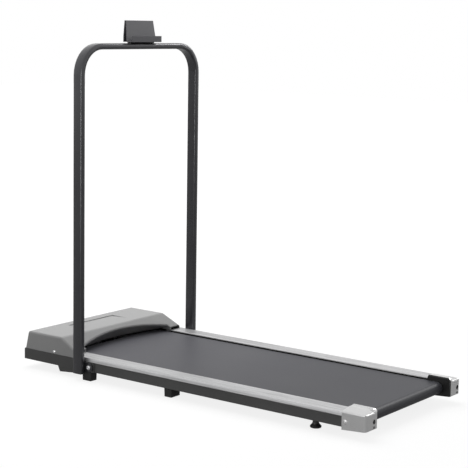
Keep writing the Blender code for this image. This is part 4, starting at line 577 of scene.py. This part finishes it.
# The mains inlet and its rocker switch, snapped into the tray's front wall.
# Both are glossy black plastic. The inlet's three blades are nickel-plated brass.
BLADES_HALF = (0.0085, 0.0045)
BLADES_PLACE = (-0.124, 0.042)
BLADES_FROM = 0.5868
BLADE_NICKEL = (0.72, 0.69, 0.60)
PANEL_PART_EDGE = 0.0002
socket_plastic = skin("inlet_plastic", dark=(0.018, 0.018, 0.019), light=(0.030, 0.030, 0.031),
                      rough=(0.18, 0.30), patch=60.0, grit=1000.0, dent=0.00002)
tree = socket_plastic.node_tree
blade = maths(tree, "GREATER_THAN", along(tree, "Y"), BLADES_FROM)
for axis, middle, half in zip("XZ", BLADES_PLACE, BLADES_HALF):
    offset = maths(tree, "ABSOLUTE", maths(tree, "SUBTRACT", along(tree, axis), middle))
    blade = maths(tree, "MULTIPLY", blade, maths(tree, "LESS_THAN", offset, half))
shift_tone(socket_plastic, blade, BLADE_NICKEL)
link(tree, blade, principled(socket_plastic).inputs["Metallic"])
dress(socket_plastic, ["power_inlet"], edge=PANEL_PART_EDGE)
switch_plastic = skin("switch_plastic", dark=(0.020, 0.020, 0.021), light=(0.032, 0.032, 0.033),
                      rough=(0.20, 0.32), patch=60.0, grit=1000.0, dent=0.00002)
dress(switch_plastic, ["switch_housing", "switch_rocker"], edge=PANEL_PART_EDGE)

# The wheels and the block feet: moulded black rubber with a dull, slightly dusty skin.
# The wheels touch the floor only when the machine is tipped up on its front end.
FOOT_EDGE = 0.0003
foot_rubber = skin("foot_rubber", dark=(0.015, 0.015, 0.015), light=(0.030, 0.030, 0.030),
                   rough=(0.62, 0.80), patch=30.0, grit=800.0, dent=0.00008)
dress(foot_rubber, both_sides("front_foot", "middle_foot"), edge=FOOT_EDGE)
dress(foot_rubber, both_sides("transport_wheel"))

# The levelling feet: a black moulded base on a plated steel screw.
# The screw stands in the lug inside the frame, and turning the base sets its height.
STEM_FROM = 0.0264
STEM_ZINC = (0.60, 0.60, 0.61)
leveller_finish = skin("leveller_plastic", dark=(0.022, 0.022, 0.022), light=(0.036, 0.036, 0.036),
                       rough=(0.42, 0.56), patch=30.0, grit=900.0, dent=0.00005)
tree = leveller_finish.node_tree
stem = maths(tree, "GREATER_THAN", along(tree, "Z"), STEM_FROM)
shift_tone(leveller_finish, stem, STEM_ZINC)
link(tree, stem, principled(leveller_finish).inputs["Metallic"])
dress(leveller_finish, both_sides("levelling_foot"))

# The handrail: one steel tube bent to a U, with a lug welded on at each foot.
# Its gunmetal metallic paint has a clear coat, which gives the thin bright lines on its corners.
PIVOT_BOLT_EDGE = 0.0003
rail_paint = skin("gunmetal_paint", dark=(0.050, 0.050, 0.056), light=(0.070, 0.070, 0.078),
                  rough=(0.25, 0.32), patch=5.0, grit=1400.0, dent=0.000003, metal=0.35)
shader = principled(rail_paint)
shader.inputs["Specular IOR Level"].default_value = 0.35
shader.inputs["Coat Weight"].default_value = 0.45
shader.inputs["Coat Roughness"].default_value = 0.20
dress(rail_paint, ["handrail"], flat_sides=False)
dress(bolt_finish, both_sides("pivot_bolt"), edge=PIVOT_BOLT_EDGE)

# The phone holder: one folded steel sheet with a matt grey coat, over a thin rubber seat.
# Two screws go down through its floor and the seat into the crossbar.
HOLDER_EDGE = 0.0005
HOLDER_SHEET = 0.0025
HOLDER_SCREW_OUT = 0.034
HOLDER_SCREW_FROM_REAR = 0.012
HOLDER_SCREW_RADIUS = 0.0036
HOLDER_SCREW_PROUD = 0.0012
holder_coat = skin("holder_coat", dark=(0.150, 0.149, 0.164), light=(0.186, 0.185, 0.202),
                   rough=(0.42, 0.55), patch=10.0, grit=1300.0, dent=0.00005)
dress(holder_coat, ["phone_holder"], edge=HOLDER_EDGE)
dress(cushion_rubber, ["holder_seat"])
holder_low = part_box("phone_holder")[0]
for side, side_name in SIDES:
    place = (side * HOLDER_SCREW_OUT, holder_low[1] + HOLDER_SCREW_FROM_REAR,
             holder_low[2] + HOLDER_SHEET)
    screw("holder_screw_" + side_name, place, (0, 0, 1), HOLDER_SCREW_RADIUS, HOLDER_SCREW_PROUD,
          "handrail_assembly")
